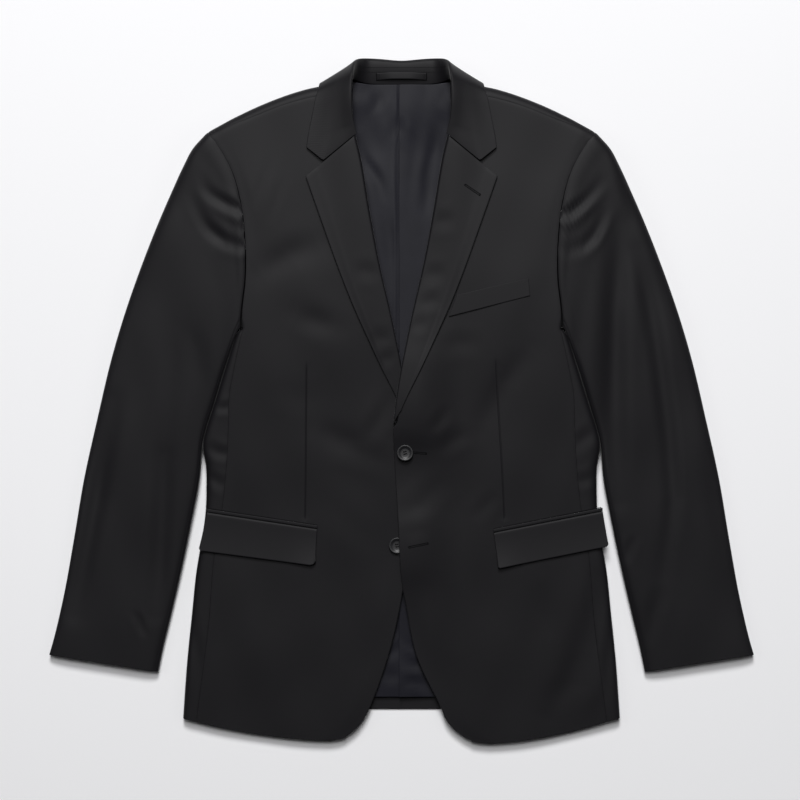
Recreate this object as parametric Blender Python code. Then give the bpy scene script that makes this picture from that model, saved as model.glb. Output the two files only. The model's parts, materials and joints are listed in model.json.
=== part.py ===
"""A two-button blazer laid flat on its back, its front facing up.

Every sheet of cloth is a wall of real thickness. Its outer face is worked out row by row from the
garment's sizes, and its inner face lies one cloth's thickness along the face's own normal.

Frame: X towards the wearer's left, Y towards the collar, Z up, with the origin on the surface below
the middle of the outline. Sizes are in millimetres until a mesh is made. "out" is the distance from
the centre line towards the piece's own side, so one description serves both sides.
"""

import math

import bpy
import numpy as np

MM = 0.001
LEFT = 1
RIGHT = -1
SIDES = {"left": LEFT, "right": RIGHT}

# Cloth and gaps
CLOTH = 2.0  # shell cloth with its interlining
LINING = 1.0
FLAP_CLOTH = 1.6
COLLAR_CLOTH = 1.4
TRIM_CLOTH = 1.1  # jets, welt and hanger loop
SEAM = 0.3  # gap between two pieces at a seam
SEAM_UNDER = 0.6  # the side panel's seam on the back twists at the underarm, so it stands wider
LAY = 1.0  # gap below a layer that lies on another
LINING_CLEAR = 1.0  # gap between the lining and the back
LINING_RISE = 4.5  # and its rise towards the neck's corners
LINING_NECK = 53.5  # half width of its top, which meets the collar stand
BEAD = 0.8  # gap below trim that is sewn down
SLOPE_SPAN = 0.05  # distance over which a slope is measured
SAMPLES = 80  # points on a curve that is read by distance
SETTLE_ROUNDS = 12  # to find where a length along the cloth meets the armhole

# Folds
SHOULDER_FOLD = 16.0  # depth of the round fold along the shoulder
SHOULDER_COS = 0.9  # cosine of the shoulder's slope
SLEEVE_FOLD = 24.0
SLEEVE_UNDER_FOLD = 12.0
SLEEVE_CROWN = 0.3  # share of the sleeve's loft that is crowned over its whole width
ROLL_WIDTH = 4.2  # how far the lapel's roll turns under
NECK_LIFT = 2.8  # the back lies on the collar's fall near the neck
UNDERARM_Y = 84.0
HEM_BACK_Y = -364.6
BREAK_Y = -33.0  # where the lapel's roll line meets the front edge
SHOULDER_TIP = 224.0
NECK_SIDE = 62.6

# Heights of the body's rows at the side seam and armhole, shared by back, side panel and front so
# that their seams run through the same points.
BODY_ROWS = [
    -378.8, -373, -366, -357, -345, -329, -308, -285, -258, -230, -203, -177, -151, -125, -99, -70,
    -42, -34, -12, 12, 36, 61, 84, 104, 130, 160, 190, 218, 244, 267, 286, 302,
]  # fmt: skip
FRONT_COLUMNS = np.array([0, 0.04, 0.11, 0.22, 0.35, 0.48, 0.61, 0.74, 0.86, 0.94, 1])
BACK_NECK_COLUMNS = [0, 20, 42, 53]


def table(names, rows):
    """A short table: each name gives its column."""
    return dict(zip(names.split(), np.array(rows, float).T))


# Half width of the body at its side fold, and the fold's depth. Above the underarm the edge runs out
# under the sleeve.
SIDE = table("y edge depth", [
    (-405, 260, 12), (-375, 258, 13), (-306, 253, 15), (-247, 247, 16), (-200, 242, 16),
    (-165, 236, 16), (-129, 231, 16), (-93, 230, 16), (-46, 230, 16), (0, 215, 15),
    (40, 203, 12), (84, 190, 9), (100, 195, 9), (130, 215, 10), (170, 262, 10), (420, 700, 10),
])  # fmt: skip
SIDE_CLEAR = 0.9  # gap between the body's side and the sleeve that lies against it
TOUCH_START = (-78, -44)  # heights between which the body's side comes up against the sleeve
TOUCH_END = (UNDERARM_Y - 6, UNDERARM_Y + 4)  # and leaves it again below the underarm

# Height of the cloth's upper face over the surface, away from the folds.
LOFT = table("y loft", [
    (-420, 12.6), (-365, 13.8), (-300, 15.5), (-200, 18), (-120, 21), (-60, 24), (0, 27), (100, 32),
    (200, 33), (300, 32), (420, 31),
])  # fmt: skip

# The seam of front and side panel on top, and of side panel and back beneath.
SIDE_SEAMS = table("y front back", [
    (-405, 245, 226), (-370, 241, 223), (-260, 227, 213.5), (-187, 221, 207.2),
    (-122, 210.5, 201.6), (-64, 205, 196.6), (-30, 203.5, 193.6), (8, 202, 190.3),
    (40, 196, 187.5), (84, 186.5, 186.5),
])  # fmt: skip

ARMHOLE = table("y out", [
    (84, 186.5), (100, 186.8), (145, 182.5), (195, 183.5), (232, 188), (275, 201), (316, 226.5),
    (330, 236),
])  # fmt: skip

# The shoulder's outline. It is drawn in below the collar, and runs up where the neck is cut away.
SHOULDER = table("out y", [
    (-20, 428), (0, 417), (40, 393), (60, 381), (80, 375.5), (95, 370.5), (109, 367.5),
    (128, 362), (165, 348), (195, 334), (228, 316), (300, 276),
])  # fmt: skip
SHOULDER_SEAM = table("out drop", [(60, 12), (104, 12), (143, 11), (181, 10), (222, 4), (228, 3.4)])

# Neck cut of the back, measured as length along the cloth up the back and round the shoulder fold.
BACK_NECK = table("out up", [(0, 372.5), (30, 372.6), (42, 373.2), (53, 376.5), (62.6, 405)])

# Roll line, the lapel's free edge, and the neck edge of the front under the collar.
ROLL = table("y out", [
    (-40, -10.6), (-31.9, -10), (38.9, -0.6), (62.5, 4.1), (101.5, 12.2), (159.3, 25.4),
    (223, 37.2), (289.1, 48.4), (311.5, 53.7), (331, 57.4), (355, 58), (370, 58.2),
])  # fmt: skip
LAPEL_EDGE = table("y out", [
    (-31.9, -10), (5.9, 6.8), (36.6, 22.4), (72, 39), (112.1, 57), (159.3, 75.6), (204.1, 91.6),
    (263.1, 112.4),
])  # fmt: skip

# Front edges below the lapel, down to the round of the hem.
FRONT_EDGE = {
    "left": table("y out", [
        (-404.7, 104.4), (-403.6, 92), (-400, 80.8), (-393, 69), (-382.3, 57.2), (-358.7, 45.4),
        (-305.6, 19.5), (-234.8, 4.1), (-223, 1.8), (-140.4, -4.1), (-57.8, -8.9), (-31.9, -10),
    ]),
    "right": table("y out", [
        (-401.2, 84.4), (-399.5, 74), (-394.1, 63.1), (-386, 53), (-376.4, 45.4),
        (-351.6, 33.6), (-305.6, 17.1), (-234.8, 0.5), (-223, -1.5), (-140.4, -6.5),
        (-57.8, -9.2), (-31.9, -10),
    ]),
}  # fmt: skip
HEM_SIDE_Y = -378.8
HEM_SAG = 4.5
HEM_EASE_Y = -300.0  # the side panel's rows are level from here up
HEM_FOLD_SHARE = 0.35  # of the way round the side panel, where it is folded

# How far the left front is lifted by what it lies over: the right front, lapel and lower button.
LAP_LIFT = table("y lift", [
    (-420, 3.4), (-225, 3.5), (-195, 6.4), (-150, 6.4), (-120, 3.8), (-60, 3.8), (-40, 6.8),
    (40, 6.8), (75, 3), (110, 0), (420, 0),
])  # fmt: skip
LAP_NEAR = 16.0  # the lift is full up to here
LAP_FAR = 75.0  # and gone from here

# Sleeve: outer and inner edges, each from the armhole to the cuff, by share of the length.
SLEEVE_OUTER = table("share out y", [
    (0, 227.6, 316.4), (0.035, 246, 296), (0.065, 255.5, 278.5), (0.125, 272, 243),
    (0.185, 287.3, 207.7), (0.245, 301.5, 172.3), (0.305, 314.7, 136.9), (0.365, 326.8, 101.5),
    (0.455, 342.5, 48.4), (0.565, 359.3, -22.4), (0.68, 375, -93.2), (0.79, 387, -164),
    (0.9, 400, -234.8), (0.98, 412.7, -287.9), (1, 416.2, -299.7),
])  # fmt: skip
SLEEVE_INNER = table("share out y", [
    (0, 190.8, 85.6), (0.02, 194.8, 76), (0.1, 206, 42), (0.2, 218.5, 2), (0.31, 233, -46),
    (0.43, 238.2, -93), (0.56, 248.4, -146), (0.69, 259.5, -199), (0.82, 272, -252.5),
    (0.92, 281.4, -291), (1, 287.3, -319.8),
])  # fmt: skip
SLEEVE_LOFT = table("share loft", [(0, 32), (0.12, 31), (0.3, 26), (0.6, 20), (0.85, 16), (1, 15)])
SLEEVE_TOP_Y = 316.4  # the armhole seam's ends on the sleeve
SLEEVE_LOW_Y = 90.0
UNDERARM_EASE = (3.6, -4.4)  # how far its lower end is drawn clear of the underarm, out and y
SLEEVE_JOIN = 0.13  # share of the sleeve over which its height leaves the armhole's
OUTER_SEAM_TURN = 0.84  # angles round the section from each edge to its seam
INNER_SEAM_TURN = 0.36

# Collar stations from the notch round to the centre back: the fold, the fall's edge, the neck seam,
# and how far the fold has turned from facing up (0) to facing the back of the neck (1).
COLLAR = table("at fold_out fold_y fold_z edge_out edge_y edge_z neck_out neck_y neck_z turn", [
    (0.0, 54.2, 312.2, 38.0, 111.5, 297.4, 35.2, 55.0, 312.0, 30.0, 0.0),
    (1.0, 58.4, 331.0, 41.0, 109.5, 312.0, 35.2, 58.2, 331.0, 30.0, 0.0),
    (2.0, 60.2, 352.0, 44.0, 105.0, 335.0, 35.2, 59.6, 350.0, 29.5, 0.05),
    (3.0, 60.9, 370.0, 44.0, 101.3, 354.0, 35.0, 59.8, 364.0, 28.5, 0.15),
    (4.0, 60.4, 384.0, 41.0, 98.0, 366.5, 31.5, 58.2, 376.0, 26.0, 0.3),
    (5.0, 57.6, 397.0, 29.0, 95.5, 374.6, 17.0, 55.2, 378.5, 17.0, 0.55),
    (6.0, 51.0, 403.0, 15.0, 86.0, 371.5, 2.5, 48.0, 376.5, 9.5, 0.85),
    (7.0, 41.0, 404.6, 6.5, 70.0, 363.0, 0.3, 37.0, 374.8, 5.8, 1.0),
    (8.0, 25.0, 403.6, 5.2, 44.0, 359.0, 0.3, 22.0, 374.2, 5.0, 1.0),
    (9.0, 0.0, 400.6, 5.0, 0.0, 357.5, 0.3, 0.0, 374.0, 4.9, 1.0),
])  # fmt: skip
NOTCH = (91.9, 281.3)
NOTCH_SHARE = 0.62  # of the way from the fold to the collar's tip
NOTCH_FADE = 0.55  # station at which the bend at the notch has gone
FOLD_BULGE = 20.0  # keeps the fold round where it turns the corner of the neck
COLLAR_GAP = 0.8  # its seam twists round the neck, so it stands wider
COLLAR_SEAM = 0.3  # share of the stand's curve that belongs to the collar's fall
COLLAR_SEAM_POINT = 9  # the seam's point among those of a station
STAND_START = 3  # stations of the collar that lie beyond each end of its stand

# Pocket flaps: corners as out and y, and the radius of the front lower corner.
FLAPS = {
    "left": {"inner_top": (108, -154.2), "outer_top": (236.4, -129.1),
             "inner_low": (114.3, -197), "outer_low": (243, -171), "round": 4.0},
    "right": {"inner_top": (99, -149.9), "outer_top": (228.7, -130.4),
              "inner_low": (102, -193.8), "outer_low": (238, -176), "round": 11.0},
}  # fmt: skip
JET_HEIGHT = 3.6
FLAP_KICK = 1.6  # the flap's lower edge stands off the front
WELT = {"inner_top": (64.8, 124.5), "outer_top": (148.8, 144),
        "inner_low": (55.2, 98.8), "outer_low": (150.5, 123.3)}  # fmt: skip

BUTTON_RADIUS = 9.5
BUTTON_HEIGHT = 3.0
BUTTON_SIDES = 18
# Half profile of a button: share of the radius, share of the height.
BUTTON_PROFILE = table("radius height", [
    (0.0, 0.0), (0.8, 0.0), (1.0, 0.35), (1.0, 0.75), (0.9, 1.0), (0.78, 0.9), (0.66, 0.6),
    (0.0, 0.6),
])  # fmt: skip
UPPER_BUTTON = (4.1, -60.8)
LOWER_BUTTON = (-7.7, -170.0)

LOOP_HALF = 30.0
LOOP_WIDTH = 5.0
LOOP_RISE = 7.0
LOOP_SEAT = 0.4  # gap at its sewn ends
LOOP_ARCH = 1.2  # how far its middle stands off the collar stand
LOOP_Y = 376.5

# The largest folds: side, width and depth of the trough, then the points that it runs through.
SLEEVE_FOLDS = [
    ("left", 9.0, 3.0, [(232, 259), (216, 242), (204, 230)]),
    ("left", 9.0, 2.5, [(236, 233), (217, 195), (195, 180)]),
    ("left", 13.0, 3.2, [(258, 208), (250, 111), (252, 24), (257, -117)]),
    ("left", 10.0, 2.2, [(278, 177), (293, 100), (305, 24), (320, -113), (308, -204)]),
    ("right", 9.0, 3.0, [(228, 248), (206, 230), (193, 230)]),
    ("right", 9.0, 3.0, [(233, 208), (213, 190), (191, 187)]),
    ("right", 13.0, 3.0, [(346, 1), (360, -113), (385, -250)]),
    ("right", 12.0, 2.4, [(278, -67), (283, -182), (287, -250)]),
]  # fmt: skip
FRONT_FOLDS = [
    ("left", 16.0, 3.0, [(232, -215), (216, -273), (196, -330), (176, -368)]),
    ("left", 14.0, 1.8, [(150, 60), (120, 20), (94, -33)]),
    ("right", 16.0, 2.4, [(165, 150), (130, 172), (98, 184)]),
    ("right", 14.0, 1.8, [(123, 100), (98, 92), (76, 86)]),
    ("right", 14.0, 1.8, [(98, -33), (70, -44), (45, -47)]),
]  # fmt: skip

COLOURS = {
    "wool": ((0.021, 0.021, 0.023), 0.85),
    "lining": ((0.040, 0.041, 0.050), 0.45),
    "button": ((0.030, 0.030, 0.032), 0.35),
}


def along(rows, name, at):
    """Reads a column smoothly at values of the table's first column."""
    keys = next(iter(rows.values()))
    values = rows[name]
    slopes = np.gradient(values, keys)
    at = np.clip(np.asarray(at, float), keys[0], keys[-1])
    row = np.clip(np.searchsorted(keys, at, side="right") - 1, 0, len(keys) - 2)
    span = keys[row + 1] - keys[row]
    share = (at - keys[row]) / span
    square = share * share
    cube = square * share
    return (
        (2 * cube - 3 * square + 1) * values[row]
        + (cube - 2 * square + share) * span * slopes[row]
        + (3 * square - 2 * cube) * values[row + 1]
        + (cube - square) * span * slopes[row + 1]
    )


def side_edge(y):
    """The body's side fold. From the waist up to the underarm the sleeve lies against it."""
    by_height = {key: SLEEVE_INNER[key][::-1] for key in ("y", "out")}
    beside = along(by_height, "out", y) - SIDE_CLEAR
    touching = step(y, *TOUCH_START) * (1 - step(y, *TOUCH_END))
    return lerp(along(SIDE, "edge", y), beside, touching)


def step(value, low, high):
    """A smooth step from 0 at low to 1 at high."""
    share = np.clip((np.asarray(value, float) - low) / (high - low), 0, 1)
    return share * share * (3 - 2 * share)


def round_over(distance, depth):
    """Quarter ellipse: 0 at a folded edge, 1 once the fold's depth is passed."""
    share = np.clip(distance / depth, 0, 1)
    return np.sqrt(1 - (1 - share) ** 2)


def lerp(first, second, share):
    return first + (second - first) * share


def trough(folds, side, out, y):
    """Depth of the side's fold troughs below a plan point."""
    depth = np.zeros(np.broadcast(out, y).shape)
    for fold_side, width, deep, points in folds:
        if fold_side != side:
            continue
        nearest = np.full(depth.shape, np.inf)
        for (x0, y0), (x1, y1) in zip(points, points[1:]):
            run = (x1 - x0) ** 2 + (y1 - y0) ** 2
            share = np.clip(((out - x0) * (x1 - x0) + (y - y0) * (y1 - y0)) / run, 0, 1)
            gap = np.hypot(out - lerp(x0, x1, share), y - lerp(y0, y1, share))
            nearest = np.minimum(nearest, gap)
        depth = depth + deep * np.exp(-((nearest / width) ** 2))
    return depth


def shoulder_fill(out, y):
    return round_over((along(SHOULDER, "y", out) - y) * SHOULDER_COS, SHOULDER_FOLD)


def fill(out, y, least=0.0):
    """Share of the loft: 1 inside the body, 0 at its folded edges, least being a floor for the side."""
    depth = along(SIDE, "depth", y)
    inside = np.maximum(side_edge(y) - out, least * depth)
    return round_over(inside, depth) * shoulder_fill(out, y)


def body_top(out, y, least=0.0):
    """Upper face of the body's cloth."""
    return along(LOFT, "loft", y) / 2 * (1 + fill(out, y, least))


def neck_lift(out, y):
    return NECK_LIFT * (1 - step(np.abs(out), 96, 130)) * step(y, 290, 352)


def body_under(out, y):
    """Lower face of the body's cloth: on the surface, except at folds and over the collar's fall."""
    full = fill(out, y)
    return along(LOFT, "loft", y) / 2 * (1 - full) + neck_lift(out, y) * full


def front_top(side, out, y, least=0.0):
    """Upper face of a front, with the left one lifted where it overlaps."""
    top = body_top(out, y, least)
    if side == "left":
        top = top + along(LAP_LIFT, "lift", y) * (1 - step(out, LAP_NEAR, LAP_FAR))
    return top


def graph_normals(height, out, y):
    """Upward unit normals of a surface given as a height over the plan."""
    across = height(out + SLOPE_SPAN, y) - height(out - SLOPE_SPAN, y)
    up = height(out, y + SLOPE_SPAN) - height(out, y - SLOPE_SPAN)
    normal = np.stack([-across, -up, np.full(np.shape(across), 2 * SLOPE_SPAN)], axis=-1)
    return normal / np.linalg.norm(normal, axis=-1, keepdims=True)


def principled(name):
    colour, roughness = COLOURS[name]
    material = bpy.data.materials.new(name)
    material.use_nodes = True
    shader = material.node_tree.nodes["Principled BSDF"]
    shader.inputs["Base Color"].default_value = (*colour, 1)
    shader.inputs["Roughness"].default_value = roughness
    shader.inputs["Metallic"].default_value = 0
    return material


def add_mesh(name, points, faces, finish):
    """Adds a named object from points in millimetres."""
    mesh = bpy.data.meshes.new(name)
    mesh.from_pydata((np.asarray(points) * MM).tolist(), [], faces)
    mesh.validate()
    mesh.shade_smooth()
    mesh.set_sharp_from_angle(angle=math.radians(50))
    mesh.materials.append(principled(finish))
    piece = bpy.data.objects.new(name, mesh)
    bpy.context.scene.collection.objects.link(piece)
    return piece


def face_normals(grid):
    """Unit normals of a grid of points, across times along."""
    across = np.gradient(grid, axis=1)
    up = np.gradient(grid, axis=0)
    normal = np.cross(across, up)
    return normal / np.linalg.norm(normal, axis=2, keepdims=True)


def wall(name, side, grid, thickness, finish="wool", outward=1, normals=None):
    """A sheet of cloth: the grid is its outer face, and outward says which way its normal faces."""
    grid = np.asarray(grid, float)
    if normals is None:
        normals = face_normals(grid) * outward
    inner = grid - normals * thickness
    rows, columns = grid.shape[:2]
    points = np.concatenate([grid.reshape(-1, 3), inner.reshape(-1, 3)])
    points = points * (side, 1, 1)
    count = rows * columns
    index = np.arange(count).reshape(rows, columns)
    faces = []
    for i in range(rows - 1):
        for j in range(columns - 1):
            loop = [index[i, j], index[i, j + 1], index[i + 1, j + 1], index[i + 1, j]]
            faces.append(loop)
            faces.append([count + k for k in reversed(loop)])
    border = [*index[0, :-1], *index[:-1, -1], *index[-1, :0:-1], *index[:0:-1, 0]]
    for a, b in zip(border, border[1:] + border[:1]):
        faces.append([b, a, count + a, count + b])
    if outward * side < 0:
        faces = [face[::-1] for face in faces]
    faces = [[int(k) for k in face] for face in faces]
    return add_mesh(name, points, faces, finish)


def plan_grid(rows, columns, bottom, top, start, end):
    """A Coons grid from functions of a share, sampled at the given row and column shares."""
    bottom = np.array([bottom(share) for share in columns])
    top = np.array([top(share) for share in columns])
    start = np.array([start(share) for share in rows])
    end = np.array([end(share) for share in rows])
    across = np.asarray(columns)[None, :, None]
    up = np.asarray(rows)[:, None, None]
    ruled = lerp(bottom[None], top[None], up) + lerp(start[:, None], end[:, None], across)
    corners = lerp(lerp(bottom[0], bottom[-1], across), lerp(top[0], top[-1], across), up)
    return ruled - corners


def heighten(plan, height):
    """Adds the third coordinate to a plan grid."""
    out, y = plan[..., 0], plan[..., 1]
    return np.stack([out, y, height(out, y)], axis=-1)


# ---------------------------------------------------------------- fronts

def front_inner(side, y):
    """The front's inner border: its free edge, then just behind the lapel's roll, then the neck."""
    edge = along(FRONT_EDGE[side], "out", y)
    roll = along(ROLL, "out", y) + (ROLL_WIDTH + 0.4) * step(y, BREAK_Y, BREAK_Y + 9)
    return np.where(y < BREAK_Y, edge, roll)


def front_outer(y):
    below = along(SIDE_SEAMS, "front", y)
    above = along(ARMHOLE, "out", y)
    return np.where(y < UNDERARM_Y, below, above) - SEAM / 2


def shoulder_seam_y(out):
    return along(SHOULDER, "y", out) - along(SHOULDER_SEAM, "drop", out)


def front_plan(side, rows, columns):
    """Plan points of a front. Rows run from the hem to the shoulder seam."""
    edge = FRONT_EDGE[side]
    hem = np.array([edge["out"][0], edge["y"][0]])
    hem_end = np.array([front_outer(HEM_SIDE_Y), HEM_SIDE_Y])
    neck = np.array([NECK_SIDE, shoulder_seam_y(NECK_SIDE) - SEAM])
    tip = np.array([SHOULDER_TIP, shoulder_seam_y(SHOULDER_TIP) - SEAM])

    def bottom(share):
        point = lerp(hem, hem_end, share)
        return point - (0, HEM_SAG * 4 * share * (1 - share))

    def top(share):
        out = lerp(neck[0], tip[0], share)
        return np.array([out, shoulder_seam_y(out) - SEAM])

    def start(share):
        y = lerp(hem[1], neck[1], share)
        out = front_inner(side, y)
        return np.array([lerp(out, NECK_SIDE, step(share, 0.97, 1)), y])

    def end(share):
        y = lerp(hem_end[1], tip[1], share)
        out = front_outer(y)
        return np.array([lerp(out, SHOULDER_TIP, step(share, 0.985, 1)), y])

    return plan_grid(rows, columns, bottom, top, start, end)


def front(name):
    tip_y = shoulder_seam_y(SHOULDER_TIP) - SEAM
    rows = (np.array([*BODY_ROWS, tip_y]) - HEM_SIDE_Y) / (tip_y - HEM_SIDE_Y)
    plan = front_plan(name, rows, FRONT_COLUMNS)

    def height(out, y):
        return front_top(name, out, y) - trough(FRONT_FOLDS, name, out, y)

    grid = heighten(plan, height)
    return wall(f"front_{name}", SIDES[name], grid, CLOTH,
                normals=graph_normals(height, plan[..., 0], plan[..., 1]))  # fmt: skip


# ---------------------------------------------------------------- side panels

def side_panel(name):
    """From the seam on the front, round the body's fold, to the seam beneath."""
    rows = [y for y in BODY_ROWS if y < UNDERARM_Y] + [UNDERARM_Y - SEAM]
    columns = 13

    def top(out, y):
        return body_top(out, y) - trough(FRONT_FOLDS, name, out, y)

    grid = []
    normals = []
    for y in rows:
        rise = (HEM_BACK_Y - HEM_SIDE_Y) * (1 - step(y, HEM_SIDE_Y, HEM_EASE_Y))
        fold_y = y + rise * HEM_FOLD_SHARE
        edge = side_edge(fold_y)
        top_run = edge - along(SIDE_SEAMS, "front", y) - SEAM
        under_run = edge - along(SIDE_SEAMS, "back", y + rise) - SEAM_UNDER
        root = np.linspace(1, 0, SAMPLES)
        high_out = edge - top_run * root**2
        low_out = (edge - under_run * root**2)[-2::-1]
        out = np.concatenate([high_out, low_out])
        z = np.concatenate([top(high_out, fold_y), body_under(low_out, fold_y)])
        length = np.concatenate([[0], np.cumsum(np.hypot(np.diff(out), np.diff(z)))])
        at = np.linspace(0, length[-1], columns)
        row_out = np.interp(at, length, out)
        row_y = y + rise * at / length[-1]
        grid.append(np.stack([row_out, row_y, np.interp(at, length, z)], axis=-1))
        on_top = (at <= length[len(high_out) - 1])[:, None]
        up = graph_normals(top, row_out, np.full(columns, fold_y))
        down = -graph_normals(body_under, row_out, np.full(columns, fold_y))
        normals.append(np.where(on_top, up, down))
    return wall(f"side_{name}", SIDES[name], grid, CLOTH, normals=np.array(normals))


# ---------------------------------------------------------------- back

def round_shoulder(out, up):
    """Follows the cloth up the back and round the shoulder fold: plan y, and whether it is on top."""
    start = along(SHOULDER, "y", out) - SHOULDER_FOLD / SHOULDER_COS
    fold_length = math.pi / 2 * (SHOULDER_FOLD + along(LOFT, "loft", 350) / 2)
    turn = np.clip((up - start) / fold_length, 0, 1) * math.pi
    drop = SHOULDER_FOLD * (1 - np.sin(turn)) / SHOULDER_COS
    return np.where(up <= start, up, along(SHOULDER, "y", out) - drop), turn > math.pi / 2


def seam_length(out):
    """Length up the back at which the shoulder seam lies."""
    start = along(SHOULDER, "y", out) - SHOULDER_FOLD / SHOULDER_COS
    fold_length = math.pi / 2 * (SHOULDER_FOLD + along(LOFT, "loft", 350) / 2)
    drop = along(SHOULDER_SEAM, "drop", out) * SHOULDER_COS
    turn = math.pi - math.asin(1 - min(drop, SHOULDER_FOLD) / SHOULDER_FOLD)
    return start + turn / math.pi * fold_length


def back(name):
    """One panel of the back: flat beneath, round the shoulder, to the seam on top."""
    length = float(seam_length(SHOULDER_TIP)) - HEM_BACK_Y

    def top(share):
        out = share * SHOULDER_TIP
        if out < NECK_SIDE - 0.1:
            return np.array([out, along(BACK_NECK, "up", out)])
        return np.array([out, seam_length(out)])

    def border(share):
        up = HEM_BACK_Y + length * share
        if up < UNDERARM_Y:
            return np.array([along(SIDE_SEAMS, "back", up) - SEAM / 2, up])
        out = SHOULDER_TIP
        for _ in range(SETTLE_ROUNDS):
            y, _ = round_shoulder(out, up)
            out = float(along(ARMHOLE, "out", y)) - SEAM / 2
        return np.array([lerp(out, SHOULDER_TIP, step(share, 0.985, 1)), up])

    def centre(share):
        return np.array([0.0, HEM_BACK_Y + (BACK_NECK["up"][0] - HEM_BACK_Y) * share])

    def bottom(share):
        return np.array([lerp(0, border(0)[0], share), HEM_BACK_Y])

    flat = [y for y in BODY_ROWS[3:] if y < 300 and (y > 0 or BODY_ROWS.index(y) % 2)]
    rows = (np.array([HEM_BACK_Y, *flat]) - HEM_BACK_Y) / length
    rows = np.concatenate([rows, np.linspace(rows[-1], 1, 8)[1:]])
    front_outs = lerp(NECK_SIDE, SHOULDER_TIP, np.delete(FRONT_COLUMNS, 1))
    columns = np.array([*BACK_NECK_COLUMNS, *front_outs]) / SHOULDER_TIP
    plan = plan_grid(rows, columns, bottom, top, centre, border)
    out = plan[..., 0] + SEAM / 2 * (1 - columns)
    y, on_top = round_shoulder(out, plan[..., 1])
    z = np.where(on_top, body_top(out, y), body_under(out, y))
    up = graph_normals(body_top, out, y)
    down = -graph_normals(body_under, out, y)
    normals = np.where(on_top[..., None], up, down)
    return wall(f"back_{name}", SIDES[name], np.stack([out, y, z], axis=-1), CLOTH, outward=-1,
                normals=normals)  # fmt: skip


# ---------------------------------------------------------------- sleeves

def sleeve_start(share):
    """The armhole from the shoulder point down to the underarm."""
    y = lerp(SLEEVE_TOP_Y, SLEEVE_LOW_Y, share)
    out = float(along(ARMHOLE, "out", y)) + SEAM / 2
    return np.array([out, y]) + np.array(UNDERARM_EASE) * step(share, 0.9, 1.0)


def sleeve_point(side, turn, share):
    """A point of the sleeve: turn is the angle round its section from the outer edge over the top."""
    across = 0.5 - 0.5 * math.cos(turn)
    outer = np.array([along(SLEEVE_OUTER, key, share) for key in ("out", "y")])
    inner = np.array([along(SLEEVE_INNER, key, share) for key in ("out", "y")])
    head = sleeve_start(across)
    first, last = sleeve_start(0), sleeve_start(1)
    cuff_outer = np.array([along(SLEEVE_OUTER, key, 1) for key in ("out", "y")])
    cuff_inner = np.array([along(SLEEVE_INNER, key, 1) for key in ("out", "y")])
    cuff = lerp(cuff_outer, cuff_inner, across)
    corners = lerp(lerp(first, last, across), lerp(cuff_outer, cuff_inner, across), share)
    plan = lerp(outer, inner, across) + lerp(head, cuff, share) - corners
    width = np.linalg.norm(outer - inner)
    edge = min(across, 1 - across) * width
    half = along(SLEEVE_LOFT, "loft", share) / 2
    if math.sin(turn) >= 0:
        crown = SLEEVE_CROWN * math.sin(turn)
        own = half * (1 + (1 - SLEEVE_CROWN) * round_over(edge, SLEEVE_FOLD) + crown)
        joined = body_top(head[0], head[1])
        sink = trough(SLEEVE_FOLDS, side, plan[0], plan[1]) * round_over(edge, SLEEVE_FOLD)
        own = own - sink * step(share, 0.0, 0.03)
    else:
        own = half * (1 - round_over(edge, SLEEVE_UNDER_FOLD))
        joined = body_under(head[0], head[1])
    z = lerp(joined, own, step(share, 0, SLEEVE_JOIN))
    return np.array([plan[0], plan[1], float(z)])


def split(name, side, grid, normals, first, last, cloth=CLOTH, gap=SEAM):
    """A wall from the columns first to last, each end drawn back by half a seam's gap."""
    part = grid[:, first : last + 1].copy()
    for end, column, inward in ((0, first, 1), (-1, last, -1)):
        after = grid[:, min(column + 1, grid.shape[1] - 1)]
        before = grid[:, max(column - 1, 0)]
        way = (after - before) / np.linalg.norm(after - before, axis=1, keepdims=True)
        part[:, end] += way * inward * gap / 2
    return wall(name, side, part, cloth, normals=normals[:, first : last + 1])


def sleeve(name):
    lengths = np.concatenate([[0, 0.012, 0.03, 0.055, 0.085, 0.12], np.linspace(0.165, 1, 14)])
    inner_seam = math.pi - INNER_SEAM_TURN
    over = [-OUTER_SEAM_TURN, -0.5, -0.2, 0.0, *np.linspace(0.27, inner_seam, 10)]
    beneath = [math.pi - 0.12, math.pi + 0.12, math.pi + 0.36,
               *np.linspace(math.pi + 0.65, 2 * math.pi - OUTER_SEAM_TURN, 6)]  # fmt: skip
    ring = [*over, *beneath]
    grid = np.array([[sleeve_point(name, turn, share) for turn in ring] for share in lengths])
    closed = np.concatenate([grid[:, -2:-1], grid, grid[:, 1:2]], axis=1)
    normals = face_normals(closed)[:, 1:-1]
    side = SIDES[name]
    split(f"sleeve_top_{name}", side, grid, normals, 0, len(over) - 1)
    split(f"sleeve_under_{name}", side, grid, normals, len(over) - 1, len(ring) - 1)


# ---------------------------------------------------------------- lapels

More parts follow.
